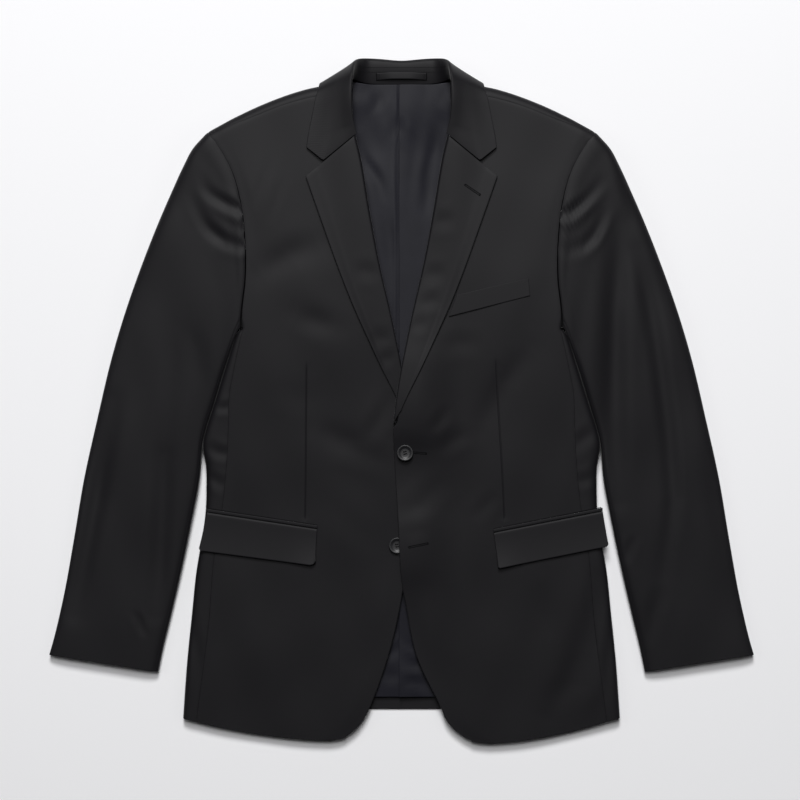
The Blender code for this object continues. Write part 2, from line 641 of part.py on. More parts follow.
def lapel(name):
    """From under the roll line, round the roll, to the lapel's free edge."""
    stations = 17
    grid = []
    for share in np.linspace(0, 1, stations):
        fold_y = lerp(-26.0, 311.5, share)
        edge_y = lerp(-10.0, 263.1, share)
        fold = np.array([along(ROLL, "out", fold_y), fold_y])
        edge = np.array([along(LAPEL_EDGE, "out", edge_y), edge_y])
        length = np.linalg.norm(edge - fold)
        way = (edge - fold) / length
        lift = 3.0 * step(share, 0.35, 1)
        row = []

        def ground(reach):
            spot = fold + way * reach
            return front_top(name, spot[0], spot[1])

        low = ground(ROLL_WIDTH) - CLOTH
        high = ground(ROLL_WIDTH) + LAY + CLOTH + lift
        middle, half = (low + high) / 2, (high - low) / 2
        row.append((ROLL_WIDTH, low))
        for turn in np.linspace(-90, 90, 6):
            angle = math.radians(turn)
            row.append((half * (1 - math.cos(angle)), middle + half * math.sin(angle)))
        for part in (0.2, 0.4, 0.7, 1.0):
            reach = lerp(half, length, part)
            settle = 1 - step(part, 0, 0.7)
            row.append((reach, ground(reach) + LAY + CLOTH + lift * settle))
        grid.append([[*(fold + way * reach), z] for reach, z in row])
    return wall(f"lapel_{name}", SIDES[name], grid, CLOTH)


# ---------------------------------------------------------------- collar

def bezier(a, b, c, d, share):
    left = 1 - share
    return a * left**3 + 3 * b * left**2 * share + 3 * c * left * share**2 + d * share**3


def collar_curves(at):
    """The station's fall and stand, each as the four control points of its outer face."""
    row = {key: float(along(COLLAR, key, at)) for key in COLLAR}
    fold = np.array([row["fold_out"], row["fold_y"], row["fold_z"]])
    edge = np.array([row["edge_out"], row["edge_y"], row["edge_z"]])
    neck = np.array([row["neck_out"], row["neck_y"], row["neck_z"]])
    flat = (edge - fold) * (1, 1, 0)
    length = np.linalg.norm(flat)
    way = flat / length
    up = np.array([0.0, 0.0, 1.0])
    angle = row["turn"] * math.pi / 2
    tangent = way * math.cos(angle) - up * math.sin(angle)
    handle = tangent * (4.8 + FOLD_BULGE * row["turn"] * (1 - row["turn"]))
    fall = [
        fold,
        fold + handle,
        lerp(edge - way * length / 2 + up, fold + way * 10 - up * 4.5, row["turn"]),
        edge,
    ]
    stand_way = np.array([0.0, -1.0, 0.0])
    stand = [
        fold,
        fold - handle,
        lerp(neck + up * 7, fold + stand_way * 10 + up * 5.0, row["turn"]),
        neck,
    ]
    return fall, stand


def collar_row(at):
    """Points of one station from the fall's edge over the fold to the neck seam."""
    fall, stand = collar_curves(at)
    fade = max(0.0, 1 - at / NOTCH_FADE)
    corner = bezier(*fall, NOTCH_SHARE)
    bend = np.array([*NOTCH, corner[2]]) - corner
    reach = np.linalg.norm((corner - fall[0])[:2])
    beyond = np.linalg.norm((fall[3] - corner)[:2])
    row = []
    for share in (1, 0.8, NOTCH_SHARE, 0.46, 0.3, 0.16, 0.06, 0):
        point = bezier(*fall, share)
        if share <= NOTCH_SHARE:
            part = np.linalg.norm((point - fall[0])[:2]) / reach
        else:
            part = np.linalg.norm((fall[3] - point)[:2]) / beyond
        row.append(point + bend * fade * part)
    stand_shares = (0.12, COLLAR_SEAM, 0.45, 0.6, 0.8, 1)
    return row + [bezier(*stand, share) for share in stand_shares]


def collar():
    """The fall with its fold, and the stand, parted at the seam inside the fold."""
    half = np.concatenate([[0, 0.25, NOTCH_FADE], np.linspace(1.0, 9, 15)])
    stations = [(RIGHT, at) for at in half] + [(LEFT, at) for at in half[-2::-1]]
    grid = np.array([np.array(collar_row(at)) * (side, 1, 1) for side, at in stations])
    normals = face_normals(grid)
    split("collar", LEFT, grid, normals, 0, COLLAR_SEAM_POINT, COLLAR_CLOTH, COLLAR_GAP)
    within = slice(STAND_START, -STAND_START)
    split("collar_stand", LEFT, grid[within], normals[within], COLLAR_SEAM_POINT,
          grid.shape[1] - 1, COLLAR_CLOTH, COLLAR_GAP)  # fmt: skip


# ---------------------------------------------------------------- lining

def lining(name):
    """Back lining, lapped at the centre back: the left half lies over the right."""
    side = SIDES[name]
    start = 0.0 if side == LEFT else -7.0
    low, high = HEM_BACK_Y + 15, 373.2
    rows = np.concatenate([np.linspace(0, 0.84, 8), np.linspace(0.89, 1, 4)])
    columns = np.array([0, 0.04, 0.1, 0.25, 0.5, 0.75, 1])
    grid = []
    for share in rows:
        y = lerp(low, high, share)
        edge = along(SIDE_SEAMS, "back", y) - 6
        shoulder = lerp(edge, LINING_NECK, step(y, 290, 354))
        far = min(edge if y < UNDERARM_Y else float(along(ARMHOLE, "out", y)) - 14, shoulder)
        out = lerp(start, far, columns)
        z = body_under(out, y) + CLOTH + LINING_CLEAR + LINING
        z = z + LINING_RISE * step(y, 325, 360) * step(out, 30, 56)
        if side == LEFT:
            z = z + 1.5 * (1 - step(out, 9, 22))
        grid.append(np.stack([out, np.full(len(out), y), z], axis=-1))
    return wall(f"lining_{name}", side, grid, LINING, finish="lining")


# ---------------------------------------------------------------- pockets

def patch(corners, rows, columns):
    """Bilinear plan grid from a dict of corners, rows running from the top down."""
    top_in, top_out = np.array(corners["inner_top"], float), np.array(corners["outer_top"], float)
    low_in, low_out = np.array(corners["inner_low"], float), np.array(corners["outer_low"], float)
    across = columns[None, :, None]
    down = rows[:, None, None]
    return lerp(lerp(top_in, top_out, across), lerp(low_in, low_out, across), down)


def pocket_top(side, out, y):
    """What a pocket lies on. Its outer end stands off the body's fold."""
    return front_top(side, out, y, least=0.55)


def flap(name):
    corners = FLAPS[name]
    rows = np.array([1, 0.86, 0.6, 0.3, 0])
    columns = np.concatenate([[0, 0.03, 0.09], np.linspace(0.2, 1, 9)])
    plan = patch(corners, rows, columns)
    width = corners["outer_top"][0] - corners["inner_top"][0]
    reach = np.clip(1 - columns * width / corners["round"], 0, 1)
    plan[..., 1] += corners["round"] * 0.6 * reach**2 * rows[:, None] ** 3
    kick = FLAP_KICK * rows[:, None] ** 2
    grid = heighten(plan, lambda out, y: pocket_top(name, out, y) + LAY + FLAP_CLOTH + kick)
    return wall(f"flap_{name}", SIDES[name], grid, FLAP_CLOTH)


def jet(name):
    corners = FLAPS[name]
    strip = {
        "inner_low": np.array(corners["inner_top"]) + (0, SEAM),
        "outer_low": np.array(corners["outer_top"]) + (0, SEAM),
        "inner_top": np.array(corners["inner_top"]) + (0, SEAM + JET_HEIGHT),
        "outer_top": np.array(corners["outer_top"]) + (0, SEAM + JET_HEIGHT),
    }
    plan = patch(strip, np.array([1.0, 0.5, 0.0]), np.linspace(0, 1, 10))
    grid = heighten(plan, lambda out, y: pocket_top(name, out, y) + BEAD + TRIM_CLOTH)
    return wall(f"jet_{name}", SIDES[name], grid, TRIM_CLOTH)


def breast_welt():
    plan = patch(WELT, np.array([1.0, 0.5, 0.0]), np.linspace(0, 1, 8))
    grid = heighten(plan, lambda out, y: pocket_top("left", out, y) + BEAD + TRIM_CLOTH)
    return wall("breast_welt", LEFT, grid, TRIM_CLOTH)


# ---------------------------------------------------------------- buttons and loop

def button(name, centre, side):
    """A dished button with a rounded rim, turned from its half profile."""
    around = np.linspace(0, 2 * math.pi, 16)
    rim_out = SIDES[side] * (centre[0] + BUTTON_RADIUS * np.cos(around))
    base = float(front_top(side, rim_out, centre[1] + BUTTON_RADIUS * np.sin(around)).max()) + SEAM
    radii = BUTTON_PROFILE["radius"] * BUTTON_RADIUS
    heights = BUTTON_PROFILE["height"] * BUTTON_HEIGHT + base
    points = [(centre[0], centre[1], heights[0]), (centre[0], centre[1], heights[-1])]
    rings = len(radii) - 2
    for radius, height in zip(radii[1:-1], heights[1:-1]):
        for k in range(BUTTON_SIDES):
            angle = 2 * math.pi * k / BUTTON_SIDES
            x = centre[0] + radius * math.cos(angle)
            points.append((x, centre[1] + radius * math.sin(angle), height))
    faces = []
    for k in range(BUTTON_SIDES):
        after = (k + 1) % BUTTON_SIDES
        faces.append((0, 2 + after, 2 + k))
        for ring in range(rings - 1):
            low, high = 2 + ring * BUTTON_SIDES, 2 + (ring + 1) * BUTTON_SIDES
            faces.append((low + k, low + after, high + after, high + k))
        last = 2 + (rings - 1) * BUTTON_SIDES
        faces.append((last + k, last + after, 1))
    return add_mesh(name, points, faces, "button")


def hanger_loop():
    """A narrow strap across the inside of the neck, arched up between its sewn ends."""
    _, stand = collar_curves(9.0)
    path = np.array([bezier(*stand, share) for share in np.linspace(1, 0, SAMPLES)])
    grid = []
    for across in (-1.0, 1.0):
        row = []
        for share in np.linspace(-1, 1, 17):
            rise = LOOP_RISE * (1 - step(abs(share), 0.72, 1.0))
            y = LOOP_Y + rise * 0.8 + across * LOOP_WIDTH / 2
            z = float(np.interp(y, path[:, 1], path[:, 2])) + LOOP_SEAT + TRIM_CLOTH
            row.append((share * LOOP_HALF, y, z + LOOP_ARCH * rise / LOOP_RISE))
        grid.append(row)
    return wall("hanger_loop", LEFT, grid, TRIM_CLOTH)


def main():
    for old in list(bpy.data.objects):
        bpy.data.objects.remove(old, do_unlink=True)
    for name in SIDES:
        back(name)
        side_panel(name)
        front(name)
        lapel(name)
        sleeve(name)
        lining(name)
        flap(name)
        jet(name)
    collar()
    breast_welt()
    button("button_upper", UPPER_BUTTON, "left")
    button("button_lower", LOWER_BUTTON, "right")
    hanger_loop()


main()
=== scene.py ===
"""Looks of a two-button blazer that lies flat on its back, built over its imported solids.

Each cloth piece is a thin shell on its solid's form, worked out again from the same sizes, with the
small creases, rolled edges, darts and sewing that the solids leave out. Sizes are in millimetres
until a mesh is made. "out" is the distance from the centre line towards the piece's own side.
"""

import json
import math

import bpy
import mathutils.bvhtree
import numpy as np
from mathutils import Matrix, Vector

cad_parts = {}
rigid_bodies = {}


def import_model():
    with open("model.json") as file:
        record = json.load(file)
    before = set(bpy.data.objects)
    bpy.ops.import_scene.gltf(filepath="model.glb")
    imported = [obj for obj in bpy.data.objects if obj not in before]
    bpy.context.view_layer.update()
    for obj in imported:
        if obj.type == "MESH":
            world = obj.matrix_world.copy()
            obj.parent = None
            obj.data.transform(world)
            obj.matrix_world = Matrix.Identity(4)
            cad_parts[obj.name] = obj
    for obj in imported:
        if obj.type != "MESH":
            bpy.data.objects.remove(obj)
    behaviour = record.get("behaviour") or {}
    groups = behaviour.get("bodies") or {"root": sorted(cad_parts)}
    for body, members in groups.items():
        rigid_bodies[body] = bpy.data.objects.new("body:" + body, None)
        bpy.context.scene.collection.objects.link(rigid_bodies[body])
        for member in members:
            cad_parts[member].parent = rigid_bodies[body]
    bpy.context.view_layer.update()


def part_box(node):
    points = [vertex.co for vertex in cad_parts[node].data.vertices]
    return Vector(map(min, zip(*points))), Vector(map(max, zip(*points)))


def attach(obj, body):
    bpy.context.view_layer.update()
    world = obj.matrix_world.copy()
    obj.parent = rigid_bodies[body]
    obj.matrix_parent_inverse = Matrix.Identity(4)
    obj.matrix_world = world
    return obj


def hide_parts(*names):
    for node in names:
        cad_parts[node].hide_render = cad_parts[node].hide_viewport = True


bl_info = {
    "name": "Flat-laid blazer",
    "version": (1, 0, 0),
    "blender": (4, 5, 0),
    "location": "View3D > Sidebar > Blazer",
    "description": "Suiting, lining, buttons and sewing of a two-button blazer",
    "category": "Add Mesh",
}

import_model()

MM = 0.001
LEFT = 1
RIGHT = -1
SIDES = {"left": LEFT, "right": RIGHT}

# Cloth and gaps
CLOTH = 2.0  # shell cloth with its interlining
LINING = 1.0
FLAP_CLOTH = 1.6
COLLAR_CLOTH = 1.4
TRIM_CLOTH = 1.1  # jets, welt and hanger loop
SEAM = 0.1  # gap between two pieces at a seam, closer than the solids'
LAY = 1.0  # gap below a layer that lies on another
LINING_CLEAR = 1.0  # gap between the lining and the back
LINING_RISE = 2.25  # and its rise towards the neck's corners
LINING_NECK = 58.0  # half width of its top, which meets the collar stand
BEAD = 0.8  # gap below trim that is sewn down
SETTLE_ROUNDS = 12  # to find where a length along the cloth meets the armhole

# Folds
SHOULDER_FOLD = 16.0  # depth of the round fold along the shoulder
SHOULDER_COS = 0.9  # cosine of the shoulder's slope
SLEEVE_FOLD = 24.0
SLEEVE_UNDER_FOLD = 12.0
SLEEVE_CROWN = 0.3  # share of the sleeve's loft that is crowned over its whole width
ROLL_WIDTH = 4.2  # how far the lapel's roll turns under
NECK_LIFT = 2.8  # the back lies on the collar's fall near the neck
NECK_LIFT_OUTS = (96, 130)  # distances out over which that ends
NECK_LIFT_YS = (290, 352)  # and heights over which it starts
UNDERARM_Y = 84.0
HEM_BACK_Y = -364.6
BREAK_Y = -33.0  # where the lapel's roll line meets the front edge
SHOULDER_TIP = 226.4
NECK_SIDE = 62.6


def table(names, rows):
    """A short table: each name gives its column."""
    return dict(zip(names.split(), np.array(rows, float).T))


# Half width of the body at its side fold, and the fold's depth. Above the underarm the edge runs out
# under the sleeve.
SIDE = table("y edge depth", [
    (-405, 260, 12), (-375, 258, 13), (-306, 253, 15), (-247, 247, 16), (-200, 242, 16),
    (-165, 236, 16), (-129, 231, 16), (-93, 230, 16), (-46, 230, 16), (0, 215, 15),
    (40, 203, 12), (84, 190, 9), (100, 195, 9), (130, 215, 10), (170, 262, 10), (420, 700, 10),
])  # fmt: skip
SIDE_CLEAR = -0.8  # the body's side comes up under the sleeve that lies against it
TOUCH_START = (-78, -44)  # heights between which the body's side comes up against the sleeve
TOUCH_END = (UNDERARM_Y - 6, UNDERARM_Y + 4)  # and leaves it again below the underarm

# Height of the cloth's upper face over the surface, away from the folds.
LOFT = table("y loft", [
    (-420, 12.6), (-365, 13.8), (-300, 15.5), (-200, 18), (-120, 21), (-60, 24), (0, 27), (100, 32),
    (200, 33), (300, 32), (420, 31),
])  # fmt: skip

# The seam of front and side panel on top, and of side panel and back beneath.
SIDE_SEAMS = table("y front back", [
    (-405, 245, 226), (-370, 241, 223), (-260, 227, 213.5), (-187, 221, 207.2),
    (-122, 210.5, 201.6), (-64, 205, 196.6), (-30, 203.5, 193.6), (8, 202, 190.3),
    (40, 196, 187.5), (84, 186.5, 186.5),
])  # fmt: skip

ARMHOLE = table("y out", [
    (84, 186.5), (100, 186.8), (145, 182.5), (195, 183.5), (232, 188), (275, 201), (316, 226.5),
    (330, 236),
])  # fmt: skip

# The shoulder's outline. It is drawn in below the collar, and runs up where the neck is cut away.
SHOULDER = table("out y", [
    (-20, 428), (0, 417), (40, 393), (60, 381), (80, 375.5), (95, 370.5), (109, 367.5),
    (128, 362), (165, 348), (195, 334), (228, 316), (300, 276),
])  # fmt: skip
SHOULDER_SEAM = table("out drop", [(60, 12), (104, 12), (143, 11), (181, 10), (222, 4), (228, 3.4)])

# Neck cut of the back, measured as length along the cloth up the back and round the shoulder fold.
BACK_NECK = table("out up", [(0, 372.5), (30, 372.6), (42, 373.2), (53, 376.5), (62.6, 405)])

# Roll line, the lapel's free edge, and the neck edge of the front under the collar.
ROLL = table("y out", [
    (-40, -10.6), (-31.9, -10), (38.9, -0.6), (62.5, 4.1), (101.5, 12.2), (159.3, 25.4),
    (223, 37.2), (289.1, 48.4), (311.5, 53.7), (331, 57.4), (355, 58), (370, 58.2),
])  # fmt: skip
LAPEL_EDGE = table("y out", [
    (-31.9, -10), (5.9, 6.8), (36.6, 22.4), (72, 39), (112.1, 57), (159.3, 75.6), (204.1, 91.6),
    (263.1, 112.4),
])  # fmt: skip

# Front edges below the lapel, down to the round of the hem.
FRONT_EDGE = {
    "left": table("y out", [
        (-404.7, 104.4), (-403.6, 92), (-400, 80.8), (-393, 69), (-382.3, 57.2), (-358.7, 45.4),
        (-305.6, 19.5), (-234.8, 4.1), (-223, 1.8), (-140.4, -4.1), (-57.8, -8.9), (-31.9, -10),
    ]),
    "right": table("y out", [
        (-401.2, 84.4), (-399.5, 74), (-394.1, 63.1), (-386, 53), (-376.4, 45.4),
        (-351.6, 33.6), (-305.6, 17.1), (-234.8, 0.5), (-223, -1.5), (-140.4, -6.5),
        (-57.8, -9.2), (-31.9, -10),
    ]),
}  # fmt: skip
HEM_SIDE_Y = -378.8
HEM_SAG = 4.5
HEM_EASE_Y = -300.0  # the side panel's rows are level from here up
HEM_FOLD_SHARE = 0.35  # of the way round the side panel, where it is folded

# How far the left front is lifted by what it lies over: the right front, lapel and lower button.
LAP_LIFT = table("y lift", [
    (-420, 3.4), (-225, 3.5), (-195, 6.4), (-150, 6.4), (-120, 3.8), (-60, 3.8), (-40, 6.8),
    (40, 6.8), (75, 3), (110, 0), (420, 0),
])  # fmt: skip
LAP_NEAR = 16.0  # the lift is full up to here
LAP_FAR = 75.0  # and gone from here

# Sleeve: outer and inner edges, each from the armhole to the cuff, by share of the length.
SLEEVE_OUTER = table("share out y", [
    (0, 227.6, 316.4), (0.035, 246, 296), (0.065, 255.5, 278.5), (0.125, 272, 243),
    (0.185, 287.3, 207.7), (0.245, 301.5, 172.3), (0.305, 314.7, 136.9), (0.365, 326.8, 101.5),
    (0.455, 342.5, 48.4), (0.565, 359.3, -22.4), (0.68, 375, -93.2), (0.79, 387, -164),
    (0.9, 400, -234.8), (0.98, 412.7, -287.9), (1, 416.2, -299.7),
])  # fmt: skip
SLEEVE_INNER = table("share out y", [
    (0, 190.8, 85.6), (0.02, 194.8, 76), (0.1, 206, 42), (0.2, 218.5, 2), (0.31, 233, -46),
    (0.43, 238.2, -93), (0.56, 248.4, -146), (0.69, 259.5, -199), (0.82, 272, -252.5),
    (0.92, 281.4, -291), (1, 287.3, -319.8),
])  # fmt: skip
SLEEVE_LOFT = table("share loft", [(0, 32), (0.12, 31), (0.3, 26), (0.6, 20), (0.85, 16), (1, 15)])
SLEEVE_TOP_Y = 316.4  # the armhole seam's ends on the sleeve
SLEEVE_LOW_Y = 90.0
UNDERARM_EASE = (0.8, -3.0)  # how far its lower end is drawn clear of the underarm, out and y
SLEEVE_JOIN = 0.13  # share of the sleeve over which its height leaves the armhole's
OUTER_SEAM_TURN = 0.84  # angles round the section from each edge to its seam
INNER_SEAM_TURN = 0.36

# Collar stations from the notch round to the centre back: the fold, the fall's edge, the neck seam,
# and how far the fold has turned from facing up (0) to facing the back of the neck (1).
COLLAR = table("at fold_out fold_y fold_z edge_out edge_y edge_z neck_out neck_y neck_z turn", [
    (0.0, 54.2, 312.2, 38.0, 111.5, 297.4, 35.2, 55.0, 312.0, 30.0, 0.0),
    (1.0, 58.4, 331.0, 41.0, 109.5, 312.0, 35.2, 58.2, 331.0, 30.0, 0.0),
    (2.0, 60.2, 352.0, 44.0, 105.0, 335.0, 35.2, 59.6, 350.0, 29.5, 0.05),
    (3.0, 60.9, 370.0, 44.0, 101.3, 354.0, 35.0, 59.8, 364.0, 28.5, 0.15),
    (4.0, 60.4, 384.0, 41.0, 98.0, 366.5, 31.5, 58.2, 376.0, 26.0, 0.3),
    (5.0, 57.6, 397.0, 29.0, 95.5, 374.6, 17.0, 55.2, 378.5, 17.0, 0.55),
    (6.0, 51.0, 403.0, 15.0, 86.0, 371.5, 2.5, 48.0, 376.5, 9.5, 0.85),
    (7.0, 41.0, 404.9, 6.5, 70.0, 363.0, 0.3, 37.0, 374.8, 5.8, 1.0),
    (8.0, 25.0, 404.3, 5.2, 44.0, 359.0, 0.3, 22.0, 374.2, 5.0, 1.0),
    (9.0, 0.0, 402.4, 5.0, 0.0, 357.5, 0.3, 0.0, 374.0, 4.9, 1.0),
])  # fmt: skip
NOTCH = (91.9, 281.3)
NOTCH_SHARE = 0.62  # of the way from the fold to the collar's tip
NOTCH_FADE = 0.55  # station at which the bend at the notch has gone
FOLD_BULGE = 20.0  # keeps the fold round where it turns the corner of the neck
COLLAR_SEAM = 0.3  # share of the stand's curve that belongs to the collar's fall

# Pocket flaps: corners as out and y, and the radius of the front lower corner.
FLAPS = {
    "left": {"inner_top": (108, -154.2), "outer_top": (236.4, -129.1),
             "inner_low": (114.3, -197), "outer_low": (243, -171), "round": 4.0},
    "right": {"inner_top": (99, -149.9), "outer_top": (228.7, -130.4),
              "inner_low": (102, -193.8), "outer_low": (238, -176), "round": 11.0},
}  # fmt: skip
JET_HEIGHT = 3.6
FLAP_KICK = 1.6  # the flap's lower edge stands off the front
WELT = {"inner_top": (64.8, 124.5), "outer_top": (148.8, 144),
        "inner_low": (55.2, 98.8), "outer_low": (150.5, 123.3)}  # fmt: skip

LOOP_HALF = 30.0
LOOP_SEAT = 0.4  # gap at its sewn ends
LOOP_ARCH = 1.2  # how far its middle stands off the collar stand
LOOP_Y = 376.5

# The largest folds: side, width and depth of the trough, then the points that it runs through.
SLEEVE_FOLDS = [
    ("left", 9.0, 3.0, [(232, 259), (216, 242), (204, 230)]),
    ("left", 9.0, 2.5, [(236, 233), (217, 195), (195, 180)]),
    ("left", 13.0, 3.2, [(258, 208), (250, 111), (252, 24), (257, -117)]),
    ("left", 10.0, 2.2, [(278, 177), (293, 100), (305, 24), (320, -113), (308, -204)]),
    ("right", 9.0, 3.0, [(228, 248), (206, 230), (193, 230)]),
    ("right", 9.0, 3.0, [(233, 208), (213, 190), (191, 187)]),
    ("right", 13.0, 3.0, [(346, 1), (360, -113), (385, -250)]),
    ("right", 12.0, 2.4, [(278, -67), (283, -182), (287, -250)]),
]  # fmt: skip
FRONT_FOLDS = [
    ("left", 16.0, 3.0, [(232, -215), (216, -273), (196, -330), (176, -368)]),
    ("left", 14.0, 1.8, [(150, 60), (120, 20), (94, -33)]),
    ("right", 16.0, 2.4, [(165, 150), (130, 172), (98, 184)]),
    ("right", 14.0, 1.8, [(123, 100), (98, 92), (76, 86)]),
    ("right", 14.0, 1.8, [(98, -33), (70, -44), (45, -47)]),
]  # fmt: skip

# Colours as the eye sees them.
# Suiting: painted shade in the twill's hollows and painted highlight on its lines, mixed with the cloth's
# random tone
SUITING_DARK_AND_HOLLOW_SHADE = "#0E0D10"
SUITING_LIGHT_AND_LINE_HIGHLIGHT = "#17161A"
LINING_DARK = "#13131A"
# The lighter satin colour is painted sheen on the ribs, in broad patches
LINING_LIGHT_AND_SHEEN = "#24242C"
HORN_DARK = "#0D0D0F"
HORN_LIGHT = "#1C1C1F"
# The sewing's colour: near-black, darker than the cloth, so that the pocket sewing paints the shade of
# the seams by the jets
THREAD_AND_SEAM_SHADE = "#050506"
THREAD_LIGHT = "#101012"  # where the fibres catch the light
FLOOR = "#F8F8FA"

TWILL_SLANT = math.radians(58)  # of the twill's lines to the length of the cloth
WAVE_PERIOD = math.tau / 20  # scale of a wave texture whose bands are 1 apart
CLOTH_NAMES = {"suiting": "suiting", "lining": "satin"}  # how a piece's name starts

# Edges and seams
FREE = 1.3  # radius at which a free edge turns under
SEWN = 0.0  # a sewn edge meets its neighbour at full thickness
HEMMED = 0.8  # radius at which a narrow strip's edge turns under
ROUNDNESS = 3.3  # of a folded edge's section, where 2 is an ellipse
ALL_SEWN = (SEWN, SEWN, SEWN, SEWN)
ALL_HEMMED = (HEMMED, HEMMED, HEMMED, HEMMED)
EDGE_LEAST = 0.3  # share of the wall that is left at the very edge
EDGE_STEPS = (0.0, 0.25, 0.6, 1.1, 1.8, 2.8)  # distances of the rows that turn an edge
SEAM_DIP = 0.22  # how far a pressed seam draws the cloth down
SEAM_REACH = 1.8  # and how far from the seam that shows
PUCKER = 0.04  # the seam's pull along its thread
PUCKER_LENGTH = 15.0
PUCKER_DRIFT = 31.0  # length over which the pucker's rhythm changes
STIFF_CLOTH = 1.5  # thinner cloth is not drawn down at its seams
NARROWEST = 0.0104  # a folded strip's flat size is taken as no narrower than this; that size and its area are worked out but not used

# Folds and creases
FOLD_SHARE = 0.7  # share of a fold's depth that the body shows; the sleeves show all of it
FOLD_START = (-0.25, 0.45)  # shares of a fold's length over which it starts
FOLD_END = (0.55, 1.25)  # and ends
CREASE_ENDS = 1.2  # how sharply a crease ends
CREASE_BANK = (0.3, 2.0, 0.8)  # its soft bank: height, distance and width, as shares
# Phases of the cloth's unevenness, so that no two pieces match
FRONT_PHASE = 0.7
SLEEVE_PHASE = 1.9
LINING_PHASE = 2.7


def along(rows, name, at):
    """Reads a column smoothly at values of the table's first column."""
    keys = next(iter(rows.values()))
    values = rows[name]
    slopes = np.gradient(values, keys)
    at = np.clip(np.asarray(at, float), keys[0], keys[-1])
    row = np.clip(np.searchsorted(keys, at, side="right") - 1, 0, len(keys) - 2)
    span = keys[row + 1] - keys[row]
    share = (at - keys[row]) / span
    square = share * share
    cube = square * share
    return (
        (2 * cube - 3 * square + 1) * values[row]
        + (cube - 2 * square + share) * span * slopes[row]
        + (3 * square - 2 * cube) * values[row + 1]
        + (cube - square) * span * slopes[row + 1]
    )


def step(value, low, high):
    """A smooth step from 0 at low to 1 at high."""
    share = np.clip((np.asarray(value, float) - low) / (high - low), 0, 1)
    return share * share * (3 - 2 * share)


def side_edge(y):
    """The body's side fold. From the waist up to the underarm the sleeve lies against it."""
    by_height = {key: SLEEVE_INNER[key][::-1] for key in ("y", "out")}
    beside = along(by_height, "out", y) - SIDE_CLEAR
    touching = step(y, *TOUCH_START) * (1 - step(y, *TOUCH_END))
    return lerp(along(SIDE, "edge", y), beside, touching)


def round_over(distance, depth):
    """0 at a folded edge, 1 once the fold's depth is passed, a little fuller than an ellipse."""
    share = np.clip(distance / depth, 0, 1)
    return (1 - (1 - share) ** ROUNDNESS) ** (1 / ROUNDNESS)


def lerp(first, second, share):
    return first + (second - first) * share


def pair(out, y):
    """Plan points from two arrays."""
    out, y = np.broadcast_arrays(out, y)
    return np.stack([out, y], axis=-1).astype(float)


def plan_along(rows, at):
    """Plan points from a table's out and y columns."""
    return pair(along(rows, "out", at), along(rows, "y", at))


def nearest_on(points, out, y):
    """Distance from each plan point to a line of points, and how far along the line that is."""
    nearest = np.full(np.broadcast(out, y).shape, np.inf)
    place = np.zeros(nearest.shape)
    lengths = [math.dist(a, b) for a, b in zip(points, points[1:])]
    start = 0.0
    for (x0, y0), (x1, y1), length in zip(points, points[1:], lengths):
        share = ((out - x0) * (x1 - x0) + (y - y0) * (y1 - y0)) / length**2
        share = np.clip(share, 0, 1)
        gap = np.hypot(out - lerp(x0, x1, share), y - lerp(y0, y1, share))
        place = np.where(gap < nearest, (start + share * length) / sum(lengths), place)
        nearest = np.minimum(nearest, gap)
        start += length
    return nearest, place


def trough(folds, side, out, y):
    """Depth of the side's fold troughs below a plan point, less than the solids' and with soft ends."""
    depth = np.zeros(np.broadcast(out, y).shape)
    for fold_side, width, deep, points in folds:
        if fold_side == side:
            nearest, place = nearest_on(points, out, y)
            ends = step(place, *FOLD_START) * (1 - step(place, *FOLD_END))
            depth = depth + FOLD_SHARE * deep * ends * np.exp(-((nearest / width) ** 2))
    return depth
